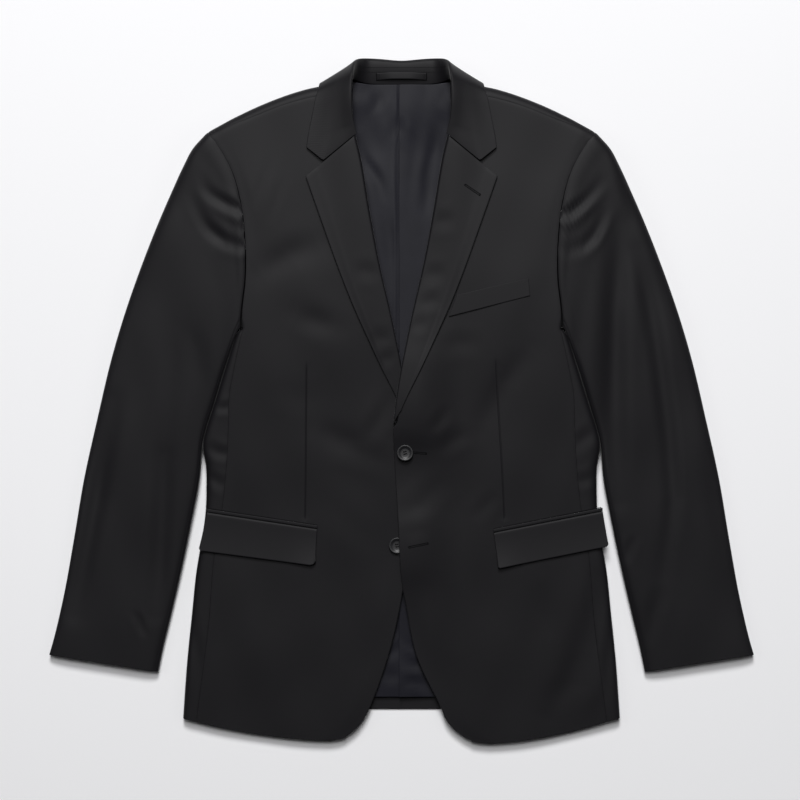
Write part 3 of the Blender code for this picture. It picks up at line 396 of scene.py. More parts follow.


# Small creases: piece, depth, width, and the points that the crease runs through.
# A positive depth is a trough, a negative one a ridge.
CREASES = [
    # Fronts
    ("front_right", 0.3, 17, [(180, 140), (132, 162), (96, 182), (60, 210)]),
    ("front_right", 0.25, 12, [(140, 120), (98, 98), (62, 74)]),
    ("front_right", 0.3, 5, [(156, 292), (160, 267), (174, 222)]),
    ("front_right", 0.26, 5, [(138, 268), (149, 225), (154, 206)]),
    ("front_right", 0.56, 8, [(8, 14), (25, -20), (46, -54)]),
    ("front_right", 0.43, 10, [(96, -51), (58, -58), (31, -67), (0, -80)]),
    ("front_right", 0.34, 13, [(100, -104), (73, -134), (24, -180)]),
    ("front_right", 0.22, 12, [(150, 20), (120, 4), (92, -2)]),
    ("front_right", 0.34, 12, [(188, -206), (195, -282), (202, -352)]),
    ("front_right", -0.3, 14, [(130, -222), (134, -290), (139, -352)]),
    ("front_right", 0.26, 12, [(82, -222), (86, -280), (96, -340)]),
    ("front_left", 0.56, 8, [(82, -35), (60, -46), (40, -62)]),
    ("front_left", 0.41, 6, [(34, -38), (44, -24), (56, -4)]),
    ("front_left", 0.51, 10, [(-2, -143), (24, -120), (54, -88)]),
    ("front_left", 0.41, 7, [(86, -142), (97, -126), (110, -106)]),
    ("front_left", 0.36, 9, [(40, 60), (66, 68), (98, 66)]),
    ("front_left", 0.3, 14, [(170, 150), (150, 110), (142, 60)]),
    ("front_left", 0.3, 8, [(0, -158), (18, -152), (36, -150)]),
    ("front_left", 0.36, 14, [(56, -214), (60, -250), (66, -300)]),
    ("front_left", 0.3, 12, [(161, -210), (166, -244), (172, -282)]),
    ("front_left", 0.66, 12, [(250, -228), (232, -282), (211, -329), (182, -360)]),
    ("front_left", -0.3, 9, [(235, -314), (222, -359), (214, -384)]),
    # Waist at the side seams
    ("side_right", 0.8, 6, [(232, -50), (216, -60), (194, -66)]),
    ("side_right", 0.7, 6, [(234, -84), (218, -94), (202, -106)]),
    ("side_right", 0.6, 5, [(228, 0), (212, -8), (188, -6)]),
    ("side_left", 0.7, 7, [(232, -30), (214, -44), (196, -62)]),
    ("side_left", 0.5, 6, [(234, -84), (219, -92), (200, -98)]),
    ("side_left", 0.8, 6, [(250, -240), (244, -300), (240, -360)]),
    ("side_right", 0.8, 6, [(250, -236), (240, -300), (234, -360)]),
    # Sleeves, first the head and then the arm
    ("sleeve_right", 1.2, 5, [(140, 214), (174, 220), (190, 224), (211, 234), (227, 246), (235, 270)]),
    ("sleeve_right", 1.6, 4.6, [(156, 214), (176, 220), (190, 224), (204, 231), (222, 242)]),
    ("sleeve_right", -0.7, 5, [(140, 210), (190, 213), (207, 219), (226, 229), (241, 249)]),
    ("sleeve_right", 1.1, 5.5, [(140, 178), (188, 181), (206, 187), (226, 203), (240, 224), (249, 250)]),
    ("sleeve_right", 1.3, 4.6, [(152, 177), (188, 181), (206, 187), (222, 199)]),
    ("sleeve_right", 0.8, 2.6, [(178, 208), (190, 206), (202, 202)]),
    ("sleeve_right", 0.7, 2.6, [(178, 201), (189, 198), (200, 193)]),
    ("sleeve_right", 1.0, 8, [(332, 60), (339, -34), (353, -93), (365, -150), (377, -211), (393, -266)]),
    ("sleeve_right", 0.9, 9, [(266, 110), (273, -11), (280, -70), (285, -164), (290, -254), (287, -290)]),
    ("sleeve_right", 0.9, 4, [(314, -246), (309, -258), (303, -280)]),
    ("sleeve_right", 0.8, 12, [(300, 160), (318, 90), (330, 20)]),
    ("sleeve_right", 0.6, 9, [(250, 96), (240, 60), (236, 10)]),
    ("sleeve_left", 1.4, 5, [(140, 212), (172, 215), (196, 220), (210, 229), (224, 242), (237, 262)]),
    ("sleeve_left", 1.6, 4.6, [(156, 212), (176, 215), (196, 220), (210, 229), (222, 240)]),
    ("sleeve_left", -0.8, 5, [(140, 206), (180, 207), (201, 210), (221, 229), (237, 251)]),
    ("sleeve_left", 1.9, 5, [(178, 178), (196, 177), (213, 181), (225, 191), (234, 208), (242, 232)]),
    ("sleeve_left", 0.7, 2.6, [(176, 207), (187, 204), (199, 199)]),
    ("sleeve_left", -0.7, 7, [(245, 296), (250, 261), (259, 231), (266, 204), (275, 168)]),
    ("sleeve_left", 0.9, 7, [(253, 286), (260, 249), (273, 178), (291, 116), (300, 72), (306, 25),
                               (317, -46), (319, -140), (308, -220)]),
    ("sleeve_left", 1.9, 12, [(256, 236), (254, 166), (250, 107), (246, 48), (244, -22), (248, -93),
                              (256, -176)]),
    ("sleeve_left", 0.8, 5, [(272, -158), (268, -174), (265, -194)]),
    ("sleeve_left", 0.9, 9, [(356, -40), (370, -120), (388, -226)]),
    ("sleeve_left", 0.9, 8, [(308, -206), (298, -250), (292, -292)]),
    # Lapels: soft dents beside the roll, and the collar's ends
    ("lapel_right", 0.5, 8, [(58, 150), (42, 152), (22, 146)]),
    ("lapel_right", 0.45, 8, [(38, 76), (26, 74), (11, 72)]),
    ("lapel_right", 0.4, 7, [(26, 50), (16, 50), (6, 48)]),
    ("lapel_left", 0.55, 8, [(66, 213), (50, 211), (30, 207)]),
    ("lapel_left", 0.55, 8, [(54, 147), (40, 149), (22, 145)]),
    ("lapel_left", 0.5, 7, [(48, 119), (36, 117), (18, 113)]),
    ("lapel_left", 0.44, 7, [(32, 93), (22, 90), (8, 87)]),
    # Back lining
    ("lining_right", 1.44, 6, [(54, 312), (44, 284), (28, 261), (18, 232)]),
    ("lining_right", 0.84, 7, [(26, 256), (14, 190), (6, 120)]),
    ("lining_right", 0.8, 7, [(6, 337), (5, 323), (6, 309)]),
    ("lining_left", 0.8, 6, [(-3, 335), (-3, 323), (-3, 311)]),
    ("lining_right", 2.2, 2.2, [(3, 420), (2, 300), (2, 120), (2, -40)]),
    ("lining_right", 0.66, 6, [(24, 366), (27, 354), (29, 340)]),
    ("lining_right", 0.6, 7, [(66, 366), (54, 363), (42, 358)]),
    ("lining_right", 0.6, 7, [(40, 350), (34, 310), (28, 280)]),
    ("lining_left", 1.43, 7, [(48, 342), (40, 296), (34, 267), (28, 214)]),
    ("lining_left", 0.6, 6, [(58, 372), (51, 360), (46, 344)]),
    ("lining_left", 0.35, 7, [(21, 366), (15, 284), (7, 190)]),
    ("lining_left", 0.85, 6, [(2, -300), (14, -312), (30, -310)]),
    ("lining_left", 0.78, 5, [(0, -334), (14, -330), (34, -340)]),
    ("lining_right", 0.72, 6, [(0, -320), (12, -326), (26, -318)]),
    ("lining_right", 0.66, 5, [(0, -284), (8, -296), (20, -300)]),
    ("lining_right", 1.0, 3, [(0, -262), (10, -276), (24, -288), (40, -296)]),
    ("lining_left", 0.9, 3, [(-2, -276), (10, -290), (26, -296), (44, -292)]),
    ("lining_left", 0.8, 2.6, [(20, -276), (30, -290), (44, -304)]),
    # The back, which lies on the surface: soft dents upwards
    ("back_left", 1.1, 16, [(170, 60), (120, 20), (70, 10)]),
    ("back_left", 0.9, 14, [(180, -120), (130, -150), (90, -160)]),
    ("back_right", 1.0, 16, [(170, 80), (126, 36), (80, 22)]),
    ("back_right", 0.9, 14, [(176, -100), (140, -140), (80, -150)]),
]


def creases(piece, out, y):
    """Height that the piece's creases take from a plan point: troughs with soft banks."""
    sunk = np.zeros(np.broadcast(out, y).shape)
    bank, far, spread = CREASE_BANK
    for name, depth, width, points in CREASES:
        if name == piece:
            nearest, place = nearest_on(points, out, y)
            reach = nearest / width
            fade = np.sin(math.pi * place) ** CREASE_ENDS
            form = np.exp(-(reach**2)) - bank * np.exp(-(((reach - far) / spread) ** 2))
            sunk = sunk + depth * fade * form
    return sunk


def drift(out, y, phase):
    """The unevenness of cloth smoothed by hand: three waves, by height and by length."""
    return (
        0.42 * np.sin(out / 31 + phase) * np.sin(y / 43 + 2 * phase)
        + 0.27 * np.sin(out / 13.7 - y / 29 + 3 * phase)
        + 0.16 * np.sin(out / 47 + y / 17.3 + 5 * phase)
    )


def shoulder_fill(out, y):
    return round_over((along(SHOULDER, "y", out) - y) * SHOULDER_COS, SHOULDER_FOLD)


def fill(out, y, least=0.0):
    """Share of the loft: 1 inside the body, 0 at its folded edges, least being a floor for the side."""
    depth = along(SIDE, "depth", y)
    inside = np.maximum(side_edge(y) - out, least * depth)
    return round_over(inside, depth) * shoulder_fill(out, y)


def body_top(out, y, least=0.0):
    """Upper face of the body's cloth."""
    return along(LOFT, "loft", y) / 2 * (1 + fill(out, y, least))


def neck_lift(out, y):
    return NECK_LIFT * (1 - step(np.abs(out), *NECK_LIFT_OUTS)) * step(y, *NECK_LIFT_YS)


def body_under(out, y):
    """Lower face of the body's cloth: on the surface, except at folds and over the collar's fall."""
    full = fill(out, y)
    return along(LOFT, "loft", y) / 2 * (1 - full) + neck_lift(out, y) * full


def front_top(side, out, y, least=0.0):
    """Upper face of a front, with the left one lifted where it overlaps."""
    top = body_top(out, y, least)
    if side == "left":
        top = top + along(LAP_LIFT, "lift", y) * (1 - step(out, LAP_NEAR, LAP_FAR))
    return top


# ---------------------------------------------------------------- meshes

def detail(full):
    """Rows or columns at the scene's detail, from their number at full detail."""
    return max(3, round(full * bpy.context.scene.blazer_look.detail))


def edge_shares(count, length):
    """Shares of a length: even inside, and close together where both edges turn."""
    near = np.array(EDGE_STEPS) / length
    inner = np.linspace(near[-1], 1 - near[-1], count)
    return np.concatenate([near[:-1], inner, 1 - near[:-1][::-1]])


def lengths_along(grid, axis):
    """Distance along the grid's lines from their start."""
    steps = np.linalg.norm(np.diff(grid, axis=axis), axis=2)
    start = np.zeros_like(np.take(steps, [0], axis=axis))
    return np.concatenate([start, np.cumsum(steps, axis=axis)], axis=axis)


def grid_normals(grid, outward=1):
    """Unit normals of a grid of points."""
    normal = np.cross(np.gradient(grid, axis=1), np.gradient(grid, axis=0)) * outward
    return normal / np.maximum(np.linalg.norm(normal, axis=2, keepdims=True), 1e-12)


def add_mesh(name, points, faces, material_key, uv=None):
    """Adds a piece from points in millimetres, smooth, at the origin, with its UV map in metres."""
    mesh = bpy.data.meshes.new(name)
    mesh.from_pydata((points * MM).tolist(), [], faces)
    mesh.shade_smooth()
    if uv is not None:
        layer = mesh.uv_layers.new(name="UVMap")
        corners = np.zeros(len(mesh.loops), np.int32)
        mesh.loops.foreach_get("vertex_index", corners)
        layer.data.foreach_set("uv", (uv[corners] * MM).astype(np.float32).ravel())
    mesh.materials.append(material_of(material_key))
    piece = bpy.data.objects.new(name, mesh)
    bpy.context.scene.collection.objects.link(piece)
    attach(piece, "root")
    return piece


def shell(name, side, grid, thickness, cloth, turns, outward=1, normals=None):
    """A thin wall under the grid, which is its outer face. It thins where the edges turn.

    turns gives the radius at the first and last column and at the first and last row.
    """
    if normals is None:
        normals = grid_normals(grid, outward)
    across, up = lengths_along(grid, 1), lengths_along(grid, 0)
    distances = (across, across[:, -1:] - across, up, up[-1:] - up)
    turned = [round_over(far, turn) for far, turn in zip(distances, turns) if turn]
    turned = np.minimum.reduce([np.ones(grid.shape[:2]), *turned])
    dip = 0.0
    for far, turn, run in zip(distances, turns, (up, up, across, across)):
        ripple = np.sin(math.tau * run / PUCKER_LENGTH + 2 * np.sin(run / PUCKER_DRIFT))
        pull = SEAM_DIP + PUCKER * ripple
        dip = dip + (turn == SEWN) * pull * np.exp(-((far / SEAM_REACH) ** 2))
    half = thickness / 2 * np.maximum(turned, EDGE_LEAST)[..., None]
    middle = grid - normals * (thickness / 2 + dip[..., None] * (thickness > STIFF_CLOTH))
    points = np.concatenate([middle + normals * half, middle - normals * half]).reshape(-1, 3)
    centred = across - across[:, across.shape[1] // 2][:, None]
    uv = np.stack([centred, up], axis=-1).reshape(-1, 2)
    rows, columns = grid.shape[:2]
    count = rows * columns
    index = np.arange(count).reshape(rows, columns)
    quads = np.stack([index[:-1, :-1], index[:-1, 1:], index[1:, 1:], index[1:, :-1]], axis=-1)
    quads = quads.reshape(-1, 4)
    border = np.concatenate([index[0, :-1], index[:-1, -1], index[-1, :0:-1], index[:0:-1, 0]])
    after = np.roll(border, -1)
    rim = np.stack([after, border, border + count, after + count], axis=-1)
    faces = np.concatenate([quads, quads[:, ::-1] + count, rim])
    if outward * side < 0:
        faces = faces[:, ::-1]
    points = points * (side, 1, 1)
    piece = add_mesh(name, points, faces.tolist(), cloth, np.concatenate([uv, uv]))
    corners = grid.reshape(-1, 3)[quads]
    diagonals = corners[:, 2] - corners[:, 0], corners[:, 3] - corners[:, 1]
    area = np.linalg.norm(np.cross(*diagonals), axis=1).sum() / 2
    flat = tuple(max(run * MM, NARROWEST) for run in (across[:, -1].max(), up[-1].max()))
    return piece, flat, float(area) * MM**2


def sheet(node, grid, thickness, rests_on, turns, cloth="suiting", slot="shell", **faces):
    side = SIDES.get(node.split("_")[-1], LEFT)
    name = f"{CLOTH_NAMES[cloth]}_{node}"
    piece, flat, area = shell(name, side, np.array(grid), thickness, cloth, turns, **faces)
    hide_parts(node)


def plan_grid(rows, columns, bottom, top, start, end):
    """A Coons grid from four borders, at row and column shares that may vary over the grid."""
    rows, columns = np.broadcast_arrays(rows, columns)
    u, v = columns[..., None], rows[..., None]
    ruled = lerp(bottom(columns), top(columns), v) + lerp(start(rows), end(rows), u)
    low = lerp(bottom(np.array(0.0)), bottom(np.array(1.0)), u)
    high = lerp(top(np.array(0.0)), top(np.array(1.0)), u)
    return ruled - lerp(low, high, v)


def heighten(plan, height):
    """Adds the third coordinate to a plan grid."""
    out, y = plan[..., 0], plan[..., 1]
    return np.stack([out, y, height(out, y)], axis=-1)


# ---------------------------------------------------------------- materials

def linear(colour):
    """The linear value of an sRGB hex colour."""
    parts = [int(colour[i : i + 2], 16) / 255 for i in (1, 3, 5)]
    parts = [p / 12.92 if p <= 0.04045 else ((p + 0.055) / 1.055) ** 2.4 for p in parts]
    return (*parts, 1.0)


def set_inputs(node, values):
    """Sets a shader node's inputs, each to a value or by a link."""
    for key, value in values.items():
        if isinstance(value, bpy.types.NodeSocket):
            node.id_data.links.new(value, node.inputs[key])
        else:
            node.inputs[key].default_value = value


def add_node(material, kind, values=(), **settings):
    """Adds a shader node with its settings, and with values or links for its inputs."""
    made = material.node_tree.nodes.new(kind)
    for key, value in settings.items():
        setattr(made, key, value)
    set_inputs(made, dict(values))
    return made


def new_material(name, values):
    """A material, and its Principled shader with the values set on its own sockets."""
    material = bpy.data.materials.new(name)
    material.use_nodes = True
    surface = material.node_tree.nodes["Principled BSDF"]
    set_inputs(surface, values)
    return material, surface


def colour_surface(material, surface, share, first, second):
    """Gives the surface a colour that runs between two shades."""
    mixed = add_node(material, "ShaderNodeMix", {
        "Factor": share, 6: linear(first), 7: linear(second),
    }, data_type="RGBA")  # fmt: skip
    set_inputs(surface, {"Base Color": mixed.outputs[2]})


def thread_lines(material, spacing, distortion, turn=0.0):
    """The piece's own UV map in millimetres, and lines of thread at a spacing along it."""
    uv = add_node(material, "ShaderNodeUVMap", uv_map="UVMap").outputs["UV"]
    places = [add_node(material, "ShaderNodeMapping", {
        "Vector": uv, "Rotation": (0, 0, angle), "Scale": (1 / MM, 1 / MM, 1 / MM),
    }).outputs["Vector"] for angle in (0.0, turn)]  # fmt: skip
    wave = add_node(material, "ShaderNodeTexWave", {
        "Vector": places[1], "Scale": WAVE_PERIOD / spacing, "Distortion": distortion,
    }, wave_type="BANDS", bands_direction="X")  # fmt: skip
    return places[0], wave.outputs["Fac"]


def suiting_material(look):
    """Worsted wool suiting, a fine twill: dark and matte, with a soft lift where light grazes it.

    The real twill's lines are 0.5 mm apart, too fine to show, so they are drawn at 1.5 mm.
    """
    material, surface = new_material("worsted_wool_twill", {
        "Roughness": 0.56, "Specular IOR Level": 0.2, "Sheen Weight": 0.14, "Sheen Roughness": 0.3,
    })  # fmt: skip
    straight, twill = thread_lines(material, look.twill_spacing, 0.6, TWILL_SLANT)
    slub = add_node(material, "ShaderNodeTexNoise",
                    {"Vector": straight, "Scale": 0.55, "Detail": 3.0}).outputs["Fac"]  # fmt: skip
    broad = add_node(material, "ShaderNodeTexNoise",
                     {"Vector": straight, "Scale": 0.018, "Detail": 2.0}).outputs["Fac"]  # fmt: skip
    share = twill
    for other, least in ((slub, 0.0), (broad, 0.12)):
        share = add_node(material, "ShaderNodeMath", {0: share, 1: other, 2: least},
                         operation="MULTIPLY_ADD").outputs[0]  # fmt: skip
    # Painted shade and highlight: darker in the twill's hollows, lighter on its lines, mixed with the
    # slubs' and broad patches' random tone
    colour_surface(material, surface, share, look.suiting_dark_and_hollow_shade, look.suiting_light_and_line_highlight)
    relief = add_node(material, "ShaderNodeMath", {0: twill, 1: slub}, operation="ADD")
    bump = add_node(material, "ShaderNodeBump", {"Height": relief.outputs[0], "Strength": 0.16,
                                                 "Distance": 0.00022})  # fmt: skip
    set_inputs(surface, {"Normal": bump.outputs["Normal"]})
    return material


def lining_material(look):
    """Viscose satin lining: smooth floats that shine softly along the warp, partly as painted sheen."""
    material, surface = new_material("viscose_satin_lining",
                                     {"Roughness": 0.46, "Specular IOR Level": 0.14})  # fmt: skip
    straight, threads = thread_lines(material, look.lining_spacing, 1.2)
    broad = add_node(material, "ShaderNodeTexNoise",
                     {"Vector": straight, "Scale": 0.03, "Detail": 2.0})  # fmt: skip
    share = add_node(material, "ShaderNodeMath", {0: threads, 1: broad.outputs["Fac"]},
                     operation="MULTIPLY")  # fmt: skip
    # Painted sheen: the satin's ribs are coloured lighter, in broad patches
    colour_surface(material, surface, share.outputs[0], look.lining_dark, look.lining_light)
    bump = add_node(material, "ShaderNodeBump", {"Height": threads, "Strength": 0.18,
                                                 "Distance": 0.00012})  # fmt: skip
    set_inputs(surface, {"Normal": bump.outputs["Normal"]})
    return material


def horn_material(look):
    """Dark horn-like resin, turned and tumbled to a satin gloss, with cloudy streaks."""
    material, surface = new_material("horn_like_resin", {"Roughness": 0.42, "IOR": 1.46})
    place = add_node(material, "ShaderNodeTexCoord").outputs["Object"]
    cloud = add_node(material, "ShaderNodeTexNoise", {
        "Vector": place, "Scale": 180.0, "Detail": 4.0, "Distortion": 1.5,
    })  # fmt: skip
    colour_surface(material, surface, cloud.outputs["Fac"], look.horn_dark, look.horn_light)
    return material


def thread_material(look):
    """Polyester buttonhole twist: round, slightly glossy, in the cloth's own colour, darkened to paint
    seam shade.
    """
    material, surface = new_material("buttonhole_twist",
                                     {"Roughness": 0.7, "Specular IOR Level": 0.1})  # fmt: skip
    place = add_node(material, "ShaderNodeTexCoord").outputs["Object"]
    fibre = add_node(material, "ShaderNodeTexNoise", {"Vector": place, "Scale": 900.0})
    colour_surface(material, surface, fibre.outputs["Fac"], look.thread_and_seam_shade_colour, THREAD_LIGHT)
    return material


MATERIAL_MAKERS = {
    "suiting": suiting_material, "lining": lining_material, "horn": horn_material,
    "thread": thread_material,
}  # fmt: skip
made_materials = {}


def material_of(key):
    """The material of that key, made once from the scene's settings."""
    if key not in made_materials:
        made_materials[key] = MATERIAL_MAKERS[key](bpy.context.scene.blazer_look)
    return made_materials[key]


# ---------------------------------------------------------------- fronts

DARTS = {
    "right": table("y out", [(-136, 113.5), (-70, 112.5), (0, 111.8), (48, 111.4)]),
    "left": table("y out", [(-136, 121), (-70, 117.4), (0, 113), (52, 110.4)]),
}
DART_STEPS = np.array([-2.4, -1.2, -0.6, -0.25, 0.0, 0.25, 0.6, 1.2, 2.4])  # columns at the seam
DART_MARGIN = 0.12  # least share of the width that is left beside the dart
DART_GROOVE = ((0.55, 0.5), (0.25, 5.0))  # depth and width of its seam, and of the pull beside it
DART_ENDS = (6, 14)  # lengths over which it ends, below and above
FRONT_LENGTH = 760.0
FRONT_ROWS = 540
FRONT_COLUMNS = (84, 96)  # inside and outside the dart
# Heights of more rows above the hem, which follow its rounded corner.
HEM_STEPS = (0.08, 0.4, 0.84, 1.4, 2.2, 3.3, 3.9, 4.6, 5.4, 6.3, 7.3, 8.4, 9.6, 11, 12.6)
CALM_EDGES = (24, 16)  # the cloth is even this close to the inner and the outer border
NECK_END = 0.97  # share of the height at which the inner border turns to the neck
TIP_END = 0.985  # and the outer one to the shoulder's tip
ROLL_GAP = 0.4
ROLL_START = 9  # length over which the inner border moves from the edge to behind the roll


def front_inner(side, y):
    """The front's inner border: its free edge, then just behind the lapel's roll, then the neck."""
    edge = along(FRONT_EDGE[side], "out", y)
    behind = (ROLL_WIDTH + ROLL_GAP) * step(y, BREAK_Y, BREAK_Y + ROLL_START)
    return np.where(y < BREAK_Y, edge, along(ROLL, "out", y) + behind)


def front_outer(y):
    """The front's outer border: the side seam, then the armhole."""
    below, above = along(SIDE_SEAMS, "front", y), along(ARMHOLE, "out", y)
    return np.where(y < UNDERARM_Y, below, above) - SEAM / 2


def shoulder_seam_y(out):
    return along(SHOULDER, "y", out) - along(SHOULDER_SEAM, "drop", out)


def front(name):
    """From the hem to the shoulder seam, with the dart that shapes its waist."""
    edge, dart = FRONT_EDGE[name], DARTS[name]
    hem, hem_end = (edge["out"][0], edge["y"][0]), (front_outer(HEM_SIDE_Y), HEM_SIDE_Y)
    neck_y, tip_y = (shoulder_seam_y(out) - SEAM for out in (NECK_SIDE, SHOULDER_TIP))

    def bottom(share):
        sag = HEM_SAG * 4 * share * (1 - share)
        return pair(lerp(hem[0], hem_end[0], share), lerp(hem[1], hem_end[1], share) - sag)

    def top(share):
        out = lerp(NECK_SIDE, SHOULDER_TIP, share)
        return pair(out, shoulder_seam_y(out) - SEAM)

    def start(share):
        y = lerp(hem[1], neck_y, share)
        return pair(lerp(front_inner(name, y), NECK_SIDE, step(share, NECK_END, 1)), y)

    def end(share):
        y = lerp(hem_end[1], tip_y, share)
        return pair(lerp(front_outer(y), SHOULDER_TIP, step(share, TIP_END, 1)), y)

    even = edge_shares(detail(FRONT_ROWS), FRONT_LENGTH)
    rows = np.unique(np.concatenate([even, np.array(HEM_STEPS) / FRONT_LENGTH]))
    # The columns close up along the dart, so that its seam can be drawn as a fine groove.
    inner, outer = start(rows), end(rows)
    width = outer[:, :1] - inner[:, :1]
    place = (along(dart, "out", inner[:, 1])[:, None] - inner[:, :1]) / width
    near = np.clip(place, DART_MARGIN, 1 - DART_MARGIN) + DART_STEPS / width
    turn = np.array(EDGE_STEPS) / width
    inside, outside = (np.linspace(0, 1, detail(count)) for count in FRONT_COLUMNS)
    columns = np.concatenate([
        turn[:, :-1], lerp(turn[:, -1:], near[:, :1], inside)[:, :-1], near,
        lerp(near[:, -1:], 1 - turn[:, -1:], outside)[:, 1:], 1 - turn[:, -2::-1],
    ], axis=1)  # fmt: skip
    plan = plan_grid(rows[:, None], columns, bottom, top, start, end)

    def height(out, y):
        aside = out - along(dart, "out", y)
        groove = sum(deep * np.exp(-((aside / reach) ** 2)) for deep, reach in DART_GROOVE)
        low, high = dart["y"][[0, -1]]
        there = step(y, low - DART_ENDS[0], low) * (1 - step(y, high - DART_ENDS[1], high))
        sunk = trough(FRONT_FOLDS, name, out, y) + creases(f"front_{name}", out, y)
        calm = step(out - front_inner(name, y), 0, CALM_EDGES[0])
        calm = calm * step(front_outer(y) - out, 0, CALM_EDGES[1])
        wave = drift(out, y, SIDES[name] * FRONT_PHASE) * calm
        return front_top(name, out, y) - sunk + wave - groove * there

    sheet(f"front_{name}", heighten(plan, height), CLOTH, [f"back_{name}"],
          (FREE, SEWN, FREE, SEWN))  # fmt: skip


# ---------------------------------------------------------------- side panels

SIDE_LENGTH = 459.0
SIDE_ROWS = 420
SIDE_COLUMNS = 56
SIDE_SAMPLES = 160  # points on each half of a section, which is read by length


def side_panel(name):
    """From the seam on the front, round the body's fold, to the seam beneath."""
    grid = []
    for y in lerp(HEM_SIDE_Y, UNDERARM_Y - SEAM, edge_shares(detail(SIDE_ROWS), SIDE_LENGTH)):
        rise = (HEM_BACK_Y - HEM_SIDE_Y) * (1 - step(y, HEM_SIDE_Y, HEM_EASE_Y))
        fold_y = y + rise * HEM_FOLD_SHARE
        edge = side_edge(fold_y)
        top_run = edge - along(SIDE_SEAMS, "front", y) - SEAM
        under_run = edge - along(SIDE_SEAMS, "back", y + rise) - SEAM
        square = np.linspace(1, 0, SIDE_SAMPLES) ** 2
        high_out = edge - top_run * square
        low_out = (edge - under_run * square)[-2::-1]
        sunk = trough(FRONT_FOLDS, name, high_out, fold_y)
        sunk = sunk + creases(f"side_{name}", high_out, fold_y)
        out = np.concatenate([high_out, low_out])
        z = np.concatenate([body_top(high_out, fold_y) - sunk, body_under(low_out, fold_y)])
        length = np.concatenate([[0], np.cumsum(np.hypot(np.diff(out), np.diff(z)))])
        at = edge_shares(detail(SIDE_COLUMNS), length[-1]) * length[-1]
        row = [np.interp(at, length, out), y + rise * at / length[-1], np.interp(at, length, z)]
        grid.append(np.stack(row, axis=-1))
    sheet(f"side_{name}", grid, CLOTH, [f"back_{name}"], (SEWN, SEWN, FREE, SEWN))


# ---------------------------------------------------------------- back

CENTRE_LAP = 0.6  # the left half's seam allowance runs on under the right one
BACK_LENGTH = 790.0
BACK_ROWS = (200, 140, 110)  # at even spacing, how many of them are used, and over the shoulder
BACK_COLUMNS = 84
BACK_WIDTH = 224.0
SHOULDER_START = 0.7  # share of the height from which the rows follow the shoulder
SHOULDER_Y = 350.0  # where the shoulder's loft is read


def shoulder_fold(out):
    """Length up the back at which the shoulder's fold starts, and the fold's own length."""
    start = along(SHOULDER, "y", out) - SHOULDER_FOLD / SHOULDER_COS
    return start, math.pi / 2 * (SHOULDER_FOLD + along(LOFT, "loft", SHOULDER_Y) / 2)


def round_shoulder(out, up):
    """Follows the cloth up the back and round the shoulder fold: plan y, and whether it is on top."""
    start, fold_length = shoulder_fold(out)
    turn = np.clip((up - start) / fold_length, 0, 1) * math.pi
    drop = SHOULDER_FOLD * (1 - np.sin(turn)) / SHOULDER_COS
    return np.where(up <= start, up, along(SHOULDER, "y", out) - drop), turn > math.pi / 2


def seam_length(out):
    """Length up the back at which the shoulder seam lies."""
    start, fold_length = shoulder_fold(out)
    drop = along(SHOULDER_SEAM, "drop", out) * SHOULDER_COS
    turn = math.pi - np.arcsin(1 - np.minimum(drop, SHOULDER_FOLD) / SHOULDER_FOLD)
    return start + turn / math.pi * fold_length


def back(name):
    """One panel of the back: flat beneath, round the shoulder, to the seam on top."""
    length = float(seam_length(SHOULDER_TIP)) - HEM_BACK_Y

    def top(share):
        out = share * SHOULDER_TIP
        neck = along(BACK_NECK, "up", out)
        return pair(out, np.where(out < NECK_SIDE - SEAM, neck, seam_length(out)))

    def border(share):
        up = HEM_BACK_Y + length * share
        out = np.full(np.shape(up), SHOULDER_TIP)
        for _ in range(SETTLE_ROUNDS):
            y, _ = round_shoulder(out, up)
            out = along(ARMHOLE, "out", y) - SEAM / 2
        above = lerp(out, SHOULDER_TIP, step(share, TIP_END, 1))
        return pair(np.where(up < UNDERARM_Y, along(SIDE_SEAMS, "back", up) - SEAM / 2, above), up)

    def centre(share):
        return pair(0.0, HEM_BACK_Y + (BACK_NECK["up"][0] - HEM_BACK_Y) * share)

    def bottom(share):
        return pair(share * border(np.array(0.0))[0], HEM_BACK_Y)

    even, used, over = (detail(count) for count in BACK_ROWS)
    turn = np.array(EDGE_STEPS) / BACK_LENGTH
    rows = np.concatenate([edge_shares(even, BACK_LENGTH)[:used],
                           np.linspace(SHOULDER_START, 1 - turn[-1], over), 1 - turn[-2::-1]])
    rows = np.unique(rows)[:, None]
    columns = edge_shares(detail(BACK_COLUMNS), BACK_WIDTH)[None]
    plan = plan_grid(rows, columns, bottom, top, centre, border)
    own_centre = SEAM / 2 if name == "right" else -CENTRE_LAP
    out = plan[..., 0] + own_centre * (1 - columns)
    y, on_top = round_shoulder(out, plan[..., 1])
    dents = creases(f"back_{name}", out, y) * ~on_top
    z = np.where(on_top, body_top(out, y), body_under(out, y) + np.maximum(dents, 0))
    sheet(f"back_{name}", np.stack([out, y, z], axis=-1), CLOTH, ["floor"],
          (SEWN, SEWN, FREE, SEWN), outward=-1)  # fmt: skip


# ---------------------------------------------------------------- sleeves

